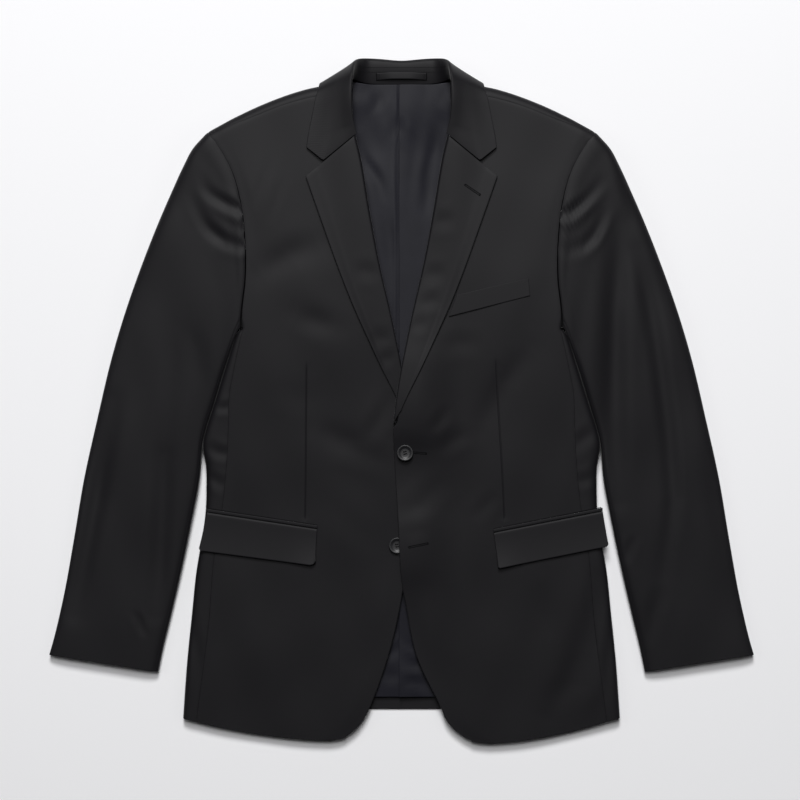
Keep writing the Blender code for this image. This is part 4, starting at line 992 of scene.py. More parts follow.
SLEEVE_LENGTH = 635.0
SLEEVE_ROWS = 300
SLEEVE_COLUMNS = (96, 64)  # on the top sleeve and on the under sleeve
SEAM_ANGLE = 0.12  # beside a seam, where the columns are close together
SEAM_RADIUS = 32.5  # turns the edge's steps into angles there
HEAD_FADE = 0.03  # share of the length over which the head takes up the largest folds
CREASE_FADE = (-0.001, 0.003)  # and the small creases
DRIFT_FADE = 0.08  # and the cloth's unevenness
TUCK = 1.2  # how far the sleeve's head runs under the armhole's edge
UNDERARM_TUCK = 3.4  # and how much farther its under side does at the underarm
UNDERARM_SHARES = (0.84, 0.94)  # shares of the armhole over which that starts
TUCK_DEPTH = 0.35
TUCK_END = 0.004  # share of the sleeve's length at which that has ended
SLEEVE_ROLL = 0.8  # the sleeve head's wadding lifts it just outside the armhole seam
ROLL_SHARE = 0.012  # share of the length at which it is fullest, and over which it fades
ROLL_HEIGHTS = (110, 170)  # it starts between these heights of the armhole


def sleeve_start(share):
    """The armhole from the shoulder point down to the underarm."""
    y = lerp(SLEEVE_TOP_Y, SLEEVE_LOW_Y, share)
    near_end = step(share, 0.9, 1.0)
    out = along(ARMHOLE, "out", y) + SEAM / 2
    return pair(out + near_end * UNDERARM_EASE[0], y + near_end * UNDERARM_EASE[1])


def sleeve_grid(side, turn, share):
    """Points of the sleeve: turn is the angle round its section from the outer edge over the top."""
    turn, share = np.broadcast_arrays(turn[None, :], share[:, None])
    across = 0.5 - 0.5 * np.cos(turn)
    outer, inner = (plan_along(rows, share) for rows in (SLEEVE_OUTER, SLEEVE_INNER))
    head = sleeve_start(across)
    shoulder, underarm = sleeve_start(np.array(0.0)), sleeve_start(np.array(1.0))
    a, s = across[..., None], share[..., None]
    cuff = lerp(plan_along(SLEEVE_OUTER, 1.0), plan_along(SLEEVE_INNER, 1.0), a)
    corners = lerp(lerp(shoulder, underarm, a), cuff, s)
    plan = lerp(outer, inner, a) + lerp(head, cuff, s) - corners
    out, y = plan[..., 0], plan[..., 1]
    edge = np.minimum(across, 1 - across) * np.linalg.norm(outer - inner, axis=-1)
    half = along(SLEEVE_LOFT, "loft", share) / 2
    over = np.sin(turn) >= 0
    rounded = round_over(edge, SLEEVE_FOLD)
    high = half * (1 + (1 - SLEEVE_CROWN) * rounded + SLEEVE_CROWN * np.sin(turn))
    folds = trough(SLEEVE_FOLDS, side, out, y) / FOLD_SHARE * rounded * step(share, 0.0, HEAD_FADE)
    small = creases(f"sleeve_{side}", out, y) * rounded * step(share, *CREASE_FADE)
    wave = drift(out, y, SIDES[side] * SLEEVE_PHASE) * rounded * step(share, 0.0, DRIFT_FADE)
    roll = SLEEVE_ROLL * np.exp(-(((share - ROLL_SHARE) / ROLL_SHARE) ** 2)) * rounded
    high = high - folds + wave + roll * step(y, *ROLL_HEIGHTS)
    own = np.where(over, high, half * (1 - round_over(edge, SLEEVE_UNDER_FOLD)))
    body = np.where(over, body_top(head[..., 0], head[..., 1]), body_under(head[..., 0], head[..., 1]))
    joined = step(share, 0, SLEEVE_JOIN)
    z = lerp(body, own, joined)
    z = z + np.where(over, roll * step(y, *ROLL_HEIGHTS) * (1 - joined) - small, 0)
    # The seam allowance, inside the wall that the sleeve is sewn to
    tucked = 1 - step(share, 0, TUCK_END)
    tuck = np.where(over, TUCK, TUCK + UNDERARM_TUCK * step(across, *UNDERARM_SHARES))
    sunk = tucked * np.where(over, -TUCK_DEPTH, TUCK_DEPTH)
    return np.stack([out - tuck * tucked, y, z + sunk], axis=-1)


def between_seams(grid, normals, first, last):
    """The columns first to last and their normals, each end drawn back by half a seam's gap."""
    part = grid[:, first : last + 1].copy()
    for end, column, inward in ((0, first, 1), (-1, last, -1)):
        after = grid[:, min(column + 1, grid.shape[1] - 1)]
        before = grid[:, max(column - 1, 0)]
        way = (after - before) / np.linalg.norm(after - before, axis=1, keepdims=True)
        part[:, end] += way * inward * SEAM / 2
    return part, normals[:, first : last + 1]


def sleeve(name):
    """The top and the under sleeve, cut from one tube at its two seams."""
    outer_seam, inner_seam = -OUTER_SEAM_TURN, math.pi - INNER_SEAM_TURN
    near = np.array(EDGE_STEPS[1:-1]) / SEAM_RADIUS

    def arc(first, last, count):
        inside = np.linspace(first + SEAM_ANGLE, last - SEAM_ANGLE, detail(count))
        return [first + near, inside, (last - near)[::-1], [last]]

    over = np.concatenate([[outer_seam], *arc(outer_seam, inner_seam, SLEEVE_COLUMNS[0])])
    beneath = arc(inner_seam, 2 * math.pi + outer_seam, SLEEVE_COLUMNS[1])
    ring = np.concatenate([over, *beneath])
    grid = sleeve_grid(name, ring, edge_shares(detail(SLEEVE_ROWS), SLEEVE_LENGTH))
    closed = np.concatenate([grid[:, -2:-1], grid, grid[:, 1:2]], axis=1)
    normals = grid_normals(closed)[:, 1:-1]
    seam = len(over) - 1
    for part, ends, rests_on in (("top", (0, seam), f"sleeve_under_{name}"),
                                 ("under", (seam, len(ring) - 1), "floor")):  # fmt: skip
        piece, piece_normals = between_seams(grid, normals, *ends)
        sheet(f"sleeve_{part}_{name}", piece, CLOTH, [rests_on], (SEWN, SEWN, SEWN, FREE),
              normals=piece_normals)  # fmt: skip


# ---------------------------------------------------------------- lapels

LAPEL_SPRING = 2.0  # the lapel's free edge stands off the front
LAPEL_BELLY = 0.7  # and its middle is fuller
BELLY_LENGTHS = (20, 60)  # lengths of a row between which that starts
SPRING_START = 0.72  # share of a row from which its edge stands off
SPRING_LENGTHS = (12, 40)  # lengths of a row between which that starts
LAPEL_LIFT = 3.0  # at the neck, where it lies over the collar's fall
LIFT_START = 0.35  # share of the height from which that starts
LIFT_END = 0.7  # share of a row at which it has settled
LAPEL_LENGTH = 340.0
LAPEL_ROWS = 190
LAPEL_COLUMNS = 48
ROLL_COLUMNS = 22
ROLL_ENDS = (-26.0, 311.5)  # heights of the first and last row at the roll
LAPEL_ENDS = (-10.0, 263.1)  # and at the free edge
SHORTEST_ROW = 8


def lapel(name):
    """From under the roll line, round the roll, to the lapel's free edge."""
    grid = []
    for share in edge_shares(detail(LAPEL_ROWS), LAPEL_LENGTH):
        fold_y, edge_y = lerp(*ROLL_ENDS, share), lerp(*LAPEL_ENDS, share)
        fold = np.array([along(ROLL, "out", fold_y), fold_y])
        edge = np.array([along(LAPEL_EDGE, "out", edge_y), edge_y])
        length = np.linalg.norm(edge - fold)
        way = (edge - fold) / length
        lift = LAPEL_LIFT * step(share, LIFT_START, 1)

        def ground(reach):
            return front_top(name, fold[0] + way[0] * reach, fold[1] + way[1] * reach)

        low = ground(ROLL_WIDTH) - CLOTH
        high = ground(ROLL_WIDTH) + LAY + CLOTH + lift
        middle, half = (low + high) / 2, (high - low) / 2
        angles = np.radians(np.linspace(-90, 90, ROLL_COLUMNS))
        near = np.array(EDGE_STEPS) / max(length, SHORTEST_ROW)
        part = np.linspace(0.03, 1 - near[-1], detail(LAPEL_COLUMNS))
        part = np.concatenate([part, 1 - near[-2::-1]])
        span = lerp(half, length, part)
        belly = LAPEL_BELLY * np.sin(math.pi * part) * step(length, *BELLY_LENGTHS)
        dents = creases(f"lapel_{name}", fold[0] + way[0] * span, fold[1] + way[1] * span)
        spring = LAPEL_SPRING * step(part, SPRING_START, 1) * step(length, *SPRING_LENGTHS)
        settled = lift * (1 - step(part, 0, LIFT_END))
        fall = ground(span) + LAY + CLOTH + settled + belly + spring - dents
        reach = np.concatenate([np.linspace(ROLL_WIDTH, 0.6, 3), half * (1 - np.cos(angles)), span])
        z = np.concatenate([np.full(3, low), middle + half * np.sin(angles), fall])
        grid.append(np.stack([fold[0] + way[0] * reach, fold[1] + way[1] * reach, z], axis=-1))
    sheet(f"lapel_{name}", grid, CLOTH, [f"front_{name}"], (FREE, FREE, FREE, SEWN))


# ---------------------------------------------------------------- collar

TIP_LIFT = 1.8  # the collar's tip stands off the front at the notch
TIP_LIFT_SHARES = (0.3, 0.12)  # shares of the fall before and after the notch over which it does
TIP_LIFT_END = 4  # station at which it lies down again
COLLAR_MIDDLE = 9.0  # the station at the centre back
COLLAR_COLUMNS = 40
STAND_COLUMNS = (8, 22)  # above and below the seam
COLLAR_ROWS = 120
FALL_EDGE = (1, 0.996, 0.99, 0.98, 0.965)  # shares of the fall at its free edge
NOTCH_ROWS = (0, 0.02, 0.05, 0.1, 0.16, 0.25, 0.4, NOTCH_FADE)  # stations at its end


def bezier(a, b, c, d, share):
    """Points of a cubic curve at the shares."""
    share = np.asarray(share, float)[:, None]
    left = 1 - share
    return a * left**3 + 3 * b * left**2 * share + 3 * c * left * share**2 + d * share**3


def mirrored(rows):
    """The table with its last row but one repeated past the middle, to run smoothly across it."""
    rows = {key: np.append(values, values[-2]) for key, values in rows.items()}
    rows["at"][-1] = COLLAR_MIDDLE + 1
    for key in rows:
        if key.endswith("_out"):
            rows[key][-1] *= -1
    return rows


STATIONS = mirrored(COLLAR)


def collar_curves(at):
    """The station's fall and stand, each as the four control points of its outer face."""
    row = {key: float(along(STATIONS, key, at)) for key in STATIONS}
    fold, edge, neck = (np.array([row[f"{spot}_{axis}"] for axis in ("out", "y", "z")])
                        for spot in ("fold", "edge", "neck"))  # fmt: skip
    flat = (edge - fold) * (1, 1, 0)
    length = np.linalg.norm(flat)
    way = flat / length
    up, stand_way = np.array([0.0, 0.0, 1.0]), np.array([0.0, -1.0, 0.0])
    angle = row["turn"] * math.pi / 2
    tangent = way * math.cos(angle) - up * math.sin(angle)
    handle = tangent * (4.8 + FOLD_BULGE * row["turn"] * (1 - row["turn"]))
    low = lerp(edge - way * length / 2 + up, fold + way * 10 - up * 4.5, row["turn"])
    high = lerp(neck + up * 7, fold + stand_way * 10 + up * 5.0, row["turn"])
    return (fold, fold + handle, low, edge), (fold, fold - handle, high, neck)


def collar_row(at, fall_shares, stand_shares):
    """Points of one station from the fall's edge over the fold to the neck seam."""
    fall, stand = collar_curves(at)
    points = bezier(*fall, fall_shares)
    corner = bezier(*fall, [NOTCH_SHARE])[0]
    bend = np.array([*NOTCH, corner[2]]) - corner

    def share_from(end):
        return np.linalg.norm((points - end)[:, :2], axis=1) / np.linalg.norm((corner - end)[:2])

    before = fall_shares <= NOTCH_SHARE
    part = np.where(before, share_from(fall[0]), share_from(fall[3]))
    points = points + bend * max(0.0, 1 - at / NOTCH_FADE) * part[:, None]
    start, end = NOTCH_SHARE - TIP_LIFT_SHARES[0], NOTCH_SHARE + TIP_LIFT_SHARES[1]
    points[:, 2] += TIP_LIFT * step(fall_shares, start, end) * (1 - step(at, 0, TIP_LIFT_END))
    return np.concatenate([points, bezier(*stand, stand_shares)])


def collar():
    """The fall with its fold, and the stand, parted at the seam inside the fold."""
    half = np.concatenate([NOTCH_ROWS, np.linspace(0.62, COLLAR_MIDDLE, detail(COLLAR_ROWS))])
    stations = [(RIGHT, at) for at in half] + [(LEFT, at) for at in half[-2::-1]]
    fall_shares = np.concatenate([FALL_EDGE, np.linspace(0.94, 0, detail(COLLAR_COLUMNS))])
    above, below = STAND_COLUMNS
    stand_shares = np.concatenate([
        np.linspace(0.04, COLLAR_SEAM - 0.04, above),
        [COLLAR_SEAM - 0.02, COLLAR_SEAM, COLLAR_SEAM + 0.02],
        np.linspace(COLLAR_SEAM + 0.05, 0.95, detail(below)), [0.975, 0.99, 1.0],
    ])  # fmt: skip
    grid = np.array([collar_row(at, fall_shares, stand_shares) * (side, 1, 1)
                     for side, at in stations])  # fmt: skip
    normals = grid_normals(grid)
    seam = len(fall_shares) + above + 1
    fall, fall_normals = between_seams(grid, normals, 0, seam)
    sheet("collar", fall, COLLAR_CLOTH, ["front_left", "front_right"], (FREE, SEWN, SEWN, SEWN),
          normals=fall_normals)  # fmt: skip
    first = int(np.searchsorted(half, 1.0))
    stand, stand_normals = between_seams(grid[first:-first], normals[first:-first], seam,
                                         grid.shape[1] - 1)  # fmt: skip
    sheet("collar_stand", stand, COLLAR_CLOTH, ["back_left", "back_right"], ALL_SEWN,
          normals=stand_normals)  # fmt: skip


# ---------------------------------------------------------------- lining

LINING_EASE = 1.5  # the loose lining lies in folds that lift it this far on average
LINING_DRIFT = 1.4  # it is this much less even than the suiting
LINING_STRETCH = 0.6  # and its unevenness is drawn out lengthwise
HEM_PUFF = 2.0  # the jump pleat's fullness above the lining's hem
HEM_PUFF_YS = (-345, -270)
PLEAT_LIFT = 1.5  # the left half lies over the right one here
PLEAT_OUTS = (4, 40)  # and comes down between these distances
PLEAT_EDGE = {"left": -3.0, "right": -7.0}
NECK_CORNER = 2.0  # it runs up behind the collar where the neck curves forwards
NECK_CORNER_OUTS = (34, 56)  # distances over which that starts
NECK_CORNER_Y = 340  # and the height from which it does
NECK_CURVE_YS = (290, 354)  # heights between which its border leaves the armhole for the neck
RISE_YS = (325, 360)  # heights and distances over which it rises to the neck's corners
RISE_OUTS = (26, 58)
LINING_TOP = 373.8
LINING_HEM = 15  # above the back's hem
LINING_SIDE_CLEAR = 6
LINING_ARMHOLE_CLEAR = 14
LINING_ROWS = 230
LINING_COLUMNS = 84
LINING_WIDTH = 200.0


def lining(name):
    """Back lining, lapped at the centre back: the left half lies over the right."""
    low, high = HEM_BACK_Y + LINING_HEM, LINING_TOP
    y = lerp(low, high, edge_shares(detail(LINING_ROWS), high - low))[:, None]
    edge = along(SIDE_SEAMS, "back", y) - LINING_SIDE_CLEAR
    shoulder = lerp(edge, LINING_NECK, step(y, *NECK_CURVE_YS))
    own = np.where(y < UNDERARM_Y, edge, along(ARMHOLE, "out", y) - LINING_ARMHOLE_CLEAR)
    columns = edge_shares(detail(LINING_COLUMNS), LINING_WIDTH)[None]
    out = lerp(PLEAT_EDGE[name], np.minimum(own, shoulder), columns)
    y = np.broadcast_to(y, out.shape)
    z = body_under(out, y) + CLOTH + LINING_CLEAR + LINING
    z = z + LINING_RISE * step(y, *RISE_YS) * step(out, *RISE_OUTS)
    z = z + HEM_PUFF * (1 - step(y, *HEM_PUFF_YS))
    if name == "left":
        z = z + PLEAT_LIFT * (1 - step(out, *PLEAT_OUTS))
    dents = creases(f"lining_{name}", out, y)
    wave = drift(out, y * LINING_STRETCH, SIDES[name] * LINING_PHASE) * LINING_DRIFT
    z = z + np.maximum(LINING_EASE + wave - dents, 0.0)
    y = y + NECK_CORNER * step(out, *NECK_CORNER_OUTS) * step(y, NECK_CORNER_Y, LINING_TOP)
    sheet(f"lining_{name}", np.stack([out, y, z], axis=-1), LINING, [f"back_{name}"], ALL_HEMMED,
          cloth="lining", slot="lining")  # fmt: skip


# ---------------------------------------------------------------- pockets

SIDE_FLOOR = 0.55  # a pocket's outer end stands off the body's fold by this share of its depth
FLAP_ROWS = 26
FLAP_COLUMNS = 70
FLAP_HEIGHT = 42
FLAP_SQUARE = 3.0  # radius of the side's lower corner
ROUND_SHARE = 0.55  # share of the front corner's radius that is cut back
ROUND_POWER = 2.5  # how soon the cut fades up the flap
FLAP_SEAT = 0.8  # the flap's sewn edge lies this much lower
CORNER_LIFT = {"left": 2.2, "right": 2.0}  # the front lower corner curls off the cloth
CURL_START = 0.7  # from this share of the width
JET_ROWS = (1, 0.93, 0.8, 0.65, 0.5, 0.35, 0.2, 0.07, 0)
JET_RISE = 0.5  # its fold stands a little proud
TRIM_COLUMNS = 60
JET_WIDTH = 129
WELT_ROWS = 16
WELT_SIZE = (92, 22)
LOOP_STRAP = 8.4  # the strap's width
LOOP_LIFT = 6.6  # it lies this far above the seam of the neck
LOOP_BOW = 1.2  # and its middle a little higher
LOOP_ROWS = (-1, -0.92, -0.75, -0.4, 0, 0.4, 0.75, 0.92, 1.0)


def patch(corners, rows, columns):
    """Bilinear plan grid from a dict of corners, rows running from the top down."""
    top, low = ([np.array(corners[f"{end}_{level}"], float) for end in ("inner", "outer")]
                for level in ("top", "low"))  # fmt: skip
    across = columns[None, :, None]
    return lerp(lerp(*top, across), lerp(*low, across), rows[:, None, None])


def pocket_top(side, out, y):
    """What a pocket lies on. Its outer end stands off the body's fold."""
    return front_top(side, out, y, least=SIDE_FLOOR)


def rounded_corner(distance, radius):
    """How far an edge is cut back at a distance from the corner's side."""
    inside = np.clip(radius - distance, 0, radius)
    return radius - np.sqrt(radius**2 - inside**2)


def flap(name):
    """The pocket's flap, rounded at its front corner, with its lower edge off the front."""
    corners = FLAPS[name]
    width = corners["outer_top"][0] - corners["inner_top"][0]
    rows = edge_shares(detail(FLAP_ROWS), FLAP_HEIGHT)[::-1]
    columns = edge_shares(detail(FLAP_COLUMNS), width)
    plan = patch(corners, rows, columns)
    cut = rounded_corner(columns * width, corners["round"] * ROUND_SHARE)
    cut = cut + rounded_corner((1 - columns) * width, FLAP_SQUARE)
    down = rows[:, None]
    plan[..., 1] += cut * down**ROUND_POWER
    kick = FLAP_KICK * down**2 - FLAP_SEAT * (1 - step(down, 0, 0.05))
    curl = CORNER_LIFT[name] * (down**2) * step(1 - columns, CURL_START, 1)
    grid = heighten(plan, lambda out, y: pocket_top(name, out, y) + LAY + FLAP_CLOTH + kick + curl)
    sheet(f"flap_{name}", grid, FLAP_CLOTH, [f"front_{name}"], (FREE, FREE, FREE, SEWN))


def jet(name):
    """The narrow folded strip above the flap."""
    strip = {f"{end}_{level}": np.array(FLAPS[name][f"{end}_top"]) + (0, rise)
             for end in ("inner", "outer")
             for level, rise in (("low", SEAM), ("top", SEAM + JET_HEIGHT))}  # fmt: skip
    plan = patch(strip, np.array(JET_ROWS), edge_shares(TRIM_COLUMNS, JET_WIDTH))
    grid = heighten(plan, lambda out, y: pocket_top(name, out, y) + BEAD + TRIM_CLOTH + JET_RISE)
    sheet(f"jet_{name}", grid, TRIM_CLOTH, [f"front_{name}"], ALL_HEMMED)


def breast_welt():
    width, height = WELT_SIZE
    plan = patch(WELT, edge_shares(WELT_ROWS, height)[::-1], edge_shares(TRIM_COLUMNS, width))
    grid = heighten(plan, lambda out, y: pocket_top("left", out, y) + BEAD + TRIM_CLOTH)
    sheet("breast_welt", grid, TRIM_CLOTH, ["front_left"], ALL_HEMMED)


def hanger_loop():
    """A flat strap across the inside of the neck, standing off the stand between its sewn ends."""
    _, stand = collar_curves(COLLAR_MIDDLE)
    path = bezier(*stand, np.linspace(1, 0, 60))
    share = np.linspace(-1, 1, 61)[None]
    across = np.array(LOOP_ROWS)[:, None]
    rise = 1 - step(np.abs(share), 0.3, 1.0)
    y = LOOP_Y + LOOP_LIFT + LOOP_BOW * rise + across * LOOP_STRAP / 2
    low = np.interp(y, path[:, 1], path[:, 2])
    z = low + LOOP_SEAT + TRIM_CLOTH + rise * LOOP_ARCH * (1.2 - 0.6 * across)
    grid = np.stack([np.broadcast_to(share * LOOP_HALF, y.shape), y, z], axis=-1)
    sheet("hanger_loop", grid, TRIM_CLOTH, ["collar_stand"], ALL_HEMMED, slot="lining")


# ---------------------------------------------------------------- buttons and sewing

# Insets from the rim to the dish, as shares of the radius, and how far each ring sinks, as shares of
# the thickness.
BUTTON_RINGS = ((0.09, 0.0), (0.1, 0.0), (0.1, -0.16), (0.12, -0.2), (0.1, -0.03))
BUTTON_DISH = 0.42  # depth at which the thread lies, as a share of the thickness
BUTTON_SHIFT = {"button_upper": 0.0, "button_lower": 2.4 * MM}  # from its solid, to the left
HOLE_PLACE = 0.2  # shares of the radius
HOLE_RADIUS = 0.085
ROUNDING = 0.7 * MM
SHARP = math.radians(40)  # edges sharper than this are rounded, or stay sharp in the shading
STITCH_RINGS = 5
STITCH_SIDES = 6
THREAD_END = 0.55  # share of a stitch's thickness that is left where it dives in
THREAD_SWELL = 0.45  # and the share that its middle adds

# Buttonholes: the piece that each is cut in, its eye end and its far end.
BUTTONHOLES = {
    "upper": ("suiting_front_left", (11.5, -60.2), (28.2, -61.6)),
    "lower": ("suiting_front_left", (9.5, -171.6), (30.2, -167.4)),
    "lapel": ("suiting_lapel_left", (75.0, 252.6), (91.2, 241.6)),
}
LIP = (0.35, 1.4)  # the stitches' ends beside the slit
LIP_SPACING = 0.62
EYE = (0.3, 1.7)  # and round the eye
EYE_STITCHES = 8
BAR_HALF = 1.5
BAR_STITCHES = (0.2, 0.7, 1.2)  # distances past the slit's end
STAND_ROWS = (388.4, 393.8)  # heights of the stitching across the collar stand
# The pocket sewing is thick near-black cord that paints the shade of the seams above and below the jet.
# Pocket sewing: each row's rise above the flap's seam, and its lift over the front.
POCKET_ROWS = ((SEAM + JET_HEIGHT + 0.4, 0.7), (0.1, TRIM_CLOTH + 0.6))
POCKET_ENDS = (0.5, -1.5)
POCKET_SPACING = 2.2
LOOP_STITCHES = ((LOOP_HALF - 3.4, 1.2), (LOOP_HALF - 1.0, 0.6))  # distance out and extra height
LOOP_STITCH_HALF = 2.6
# Thread: radius of a stitch, and how high it rises.
BUTTON_THREAD = (0.24, 0.5)
# Thick, so that the pocket sewing paints a line of seam shade
POCKET_SHADE_THREAD = (0.55, 0.12)
STAND_THREAD = (0.2, 0.15)
LOOP_THREAD = (0.28, 0.2)
BUTTON_STRANDS = (-0.32, 0.0, 0.32)  # where the strands lie across a bar
STAND_SPACING = 2.6
STAND_START = 5.6  # station at which the stitching of the stand starts


def stitch(start, end, radius, height):
    """One stitch: a short cord that rises out of the cloth and dives back in."""
    start, end = np.array(start, float), np.array(end, float)
    way = (end - start) / np.linalg.norm(end - start)
    beside = np.array([-way[1], way[0], 0.0])
    points, faces = [], []
    for k in range(STITCH_RINGS):
        share = k / (STITCH_RINGS - 1)
        centre = lerp(start, end, share) + (0, 0, height * math.sin(math.pi * share))
        thin = radius * (THREAD_END + THREAD_SWELL * math.sin(math.pi * share))
        for j in range(STITCH_SIDES):
            angle = math.tau * j / STITCH_SIDES
            points.append(centre + beside * thin * math.cos(angle) + (0, 0, thin * math.sin(angle)))
    for k in range(STITCH_RINGS - 1):
        for j in range(STITCH_SIDES):
            a, b = k * STITCH_SIDES + j, k * STITCH_SIDES + (j + 1) % STITCH_SIDES
            faces.append([a, b, b + STITCH_SIDES, a + STITCH_SIDES])
    faces.append(list(range(STITCH_SIDES))[::-1])
    faces.append([(STITCH_RINGS - 1) * STITCH_SIDES + j for j in range(STITCH_SIDES)])
    return points, faces


def row_of_stitches(spots, radius, height):
    """A stitch from each spot to the next."""
    return [stitch(a, b, radius, height) for a, b in zip(spots, spots[1:])]


def sew(name, stitches):
    """One piece of sewing from its stitches."""
    faces, start = [], 0
    for points, own_faces in stitches:
        faces += [[k + start for k in face] for face in own_faces]
        start += len(points)
    add_mesh(name, np.concatenate([points for points, _ in stitches]), faces, "thread")


def deselect():
    for other in bpy.context.scene.objects:
        other.select_set(False)


def activate(piece):
    deselect()
    piece.select_set(True)
    bpy.context.view_layer.objects.active = piece


def place_at_origin(piece):
    activate(piece)
    bpy.ops.object.transform_apply(location=True, rotation=True, scale=True)


def add_modifier(piece, kind, **settings):
    """Adds a modifier and applies it."""
    made = piece.modifiers.new(kind.title(), kind)
    for key, value in settings.items():
        setattr(made, key, value)
    activate(piece)
    bpy.ops.object.modifier_apply(modifier=made.name)


def select_top_face(piece):
    """In edit mode, selects only the largest of the faces that look straight up."""
    bpy.ops.object.mode_set(mode="OBJECT")
    mesh = piece.data
    for part in (*mesh.vertices, *mesh.edges, *mesh.polygons):
        part.select = False
    max((f for f in mesh.polygons if f.normal.z > 0.99), key=lambda f: f.area).select = True
    bpy.ops.object.mode_set(mode="EDIT")


def button(node, name):
    """A four-hole button: a dished disc with a raised rounded rim."""
    look = bpy.context.scene.blazer_look
    low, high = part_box(node)
    centre = (low + high) / 2 + mathutils.Vector((BUTTON_SHIFT[node], 0, 0))
    radius, thickness = look.button_size / 2, high.z - low.z
    deselect()
    bpy.ops.mesh.primitive_cylinder_add(vertices=96, radius=radius, depth=thickness,
                                        end_fill_type="NGON", location=centre)  # fmt: skip
    piece = bpy.context.active_object
    piece.name = piece.data.name = name
    bpy.ops.object.mode_set(mode="EDIT")
    bpy.ops.mesh.select_mode(type="FACE")
    for inset, sink in BUTTON_RINGS:
        select_top_face(piece)
        bpy.ops.mesh.inset(thickness=radius * inset, use_even_offset=True)
        bpy.ops.transform.translate(value=(0, 0, thickness * sink))
    bpy.ops.object.mode_set(mode="OBJECT")
    add_modifier(piece, "BEVEL", width=ROUNDING, segments=4, limit_method="ANGLE",
                 angle_limit=SHARP)  # fmt: skip
    reach = radius * HOLE_PLACE
    for angle in (45, 135, 225, 315):
        turn = math.radians(angle + look.button_turn)
        place = (centre.x + reach * math.cos(turn), centre.y + reach * math.sin(turn), centre.z)
        deselect()
        bpy.ops.mesh.primitive_cylinder_add(vertices=20, radius=radius * HOLE_RADIUS,
                                            depth=thickness * 3, location=place)  # fmt: skip
        cutter = bpy.context.active_object
        add_modifier(piece, "BOOLEAN", operation="DIFFERENCE", object=cutter)
        bpy.data.objects.remove(cutter, do_unlink=True)
    place_at_origin(piece)
    bpy.ops.object.shade_smooth_by_angle(angle=SHARP)
    piece.data.materials.clear()
    piece.data.materials.append(material_of("horn"))
    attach(piece, "root")
    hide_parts(node)
    sew_button(centre / MM, radius / MM, (high.z - thickness * BUTTON_DISH) / MM, name)


def sew_button(centre, radius, floor, name):
    """Thread through the button's four holes, in two bars."""
    button_turn = bpy.context.scene.blazer_look.button_turn
    reach = radius * HOLE_PLACE
    parts = []
    for angle in (45, 225):
        holes = [math.radians(angle + quarter + button_turn) for quarter in (0, 90)]
        slant = holes[0] + math.pi / 4
        for shift in BUTTON_STRANDS:
            first, last = ((centre[0] + reach * math.cos(hole) + math.cos(slant) * shift,
                            centre[1] + reach * math.sin(hole) + math.sin(slant) * shift,
                            floor - 0.2) for hole in holes)  # fmt: skip
            parts.append(stitch(first, last, *BUTTON_THREAD))
    sew(f"{name}_thread", parts)


def surface_of(piece_name):
    """A function that reads the height of a finished piece at a plan point."""
    mesh = bpy.data.objects[piece_name].data
    tree = mathutils.bvhtree.BVHTree.FromPolygons([v.co[:] for v in mesh.vertices],
                                                  [p.vertices[:] for p in mesh.polygons])  # fmt: skip

    def height(x, y):
        above, down = mathutils.Vector((x * MM, y * MM, 1)), mathutils.Vector((0, 0, -1))
        return tree.ray_cast(above, down)[0].z / MM

    return height


def buttonhole(name):
    """A worked slit: close stitches over both lips, fanned round the eye, and a bar at the end."""
    piece_name, eye, end = BUTTONHOLES[name]
    surface = surface_of(piece_name)
    eye, end = np.array(eye, float), np.array(end, float)
    length = np.linalg.norm(end - eye)
    way = (end - eye) / length
    beside = np.array([-way[1], way[0]])
    parts = []

    def add(first, last, lift=0.02, height=0.34):
        spots = [(*spot, surface(*spot) + lift) for spot in (first, last)]
        parts.append(stitch(*spots, 0.3, height))

    count = round(length / LIP_SPACING)
    for k in range(count + 1):
        spot = eye + way * length * k / count
        for hand in (-1, 1):
            add(spot + beside * hand * LIP[0], spot + beside * hand * LIP[1])
    for k in range(1, EYE_STITCHES):
        angle = math.pi * (0.5 + k / EYE_STITCHES)
        out_way = way * math.cos(angle) + beside * math.sin(angle)
        add(eye + out_way * EYE[0], eye + out_way * EYE[1])
    for past in BAR_STITCHES:
        middle = end + way * past
        add(middle - beside * BAR_HALF, middle + beside * BAR_HALF, lift=0.05, height=0.36)
    sew(f"buttonhole_{name}", parts)


def pocket_sewing_and_shade(name):
    """The lines in which the jet is sewn to the front and to the flap, thick and near-black to paint
    those seams' shade.
    """
    side = SIDES[name]
    inner, outer = (np.array(FLAPS[name][key], float) for key in ("inner_top", "outer_top"))
    parts = []
    for rise, lift in POCKET_ROWS:
        start, end = (corner + (inset, rise) for corner, inset in zip((inner, outer), POCKET_ENDS))
        count = round(np.linalg.norm(end - start) / POCKET_SPACING)
        spots = [lerp(start, end, k / count) for k in range(count + 1)]
        spots = [(*spot, float(pocket_top(name, *spot) + BEAD + lift)) for spot in spots]
        parts += [(np.array(points) * (side, 1, 1), [face[::side] for face in faces])
                  for points, faces in row_of_stitches(spots, *POCKET_SHADE_THREAD)]  # fmt: skip
    sew(f"pocket_sewing_{name}", parts)


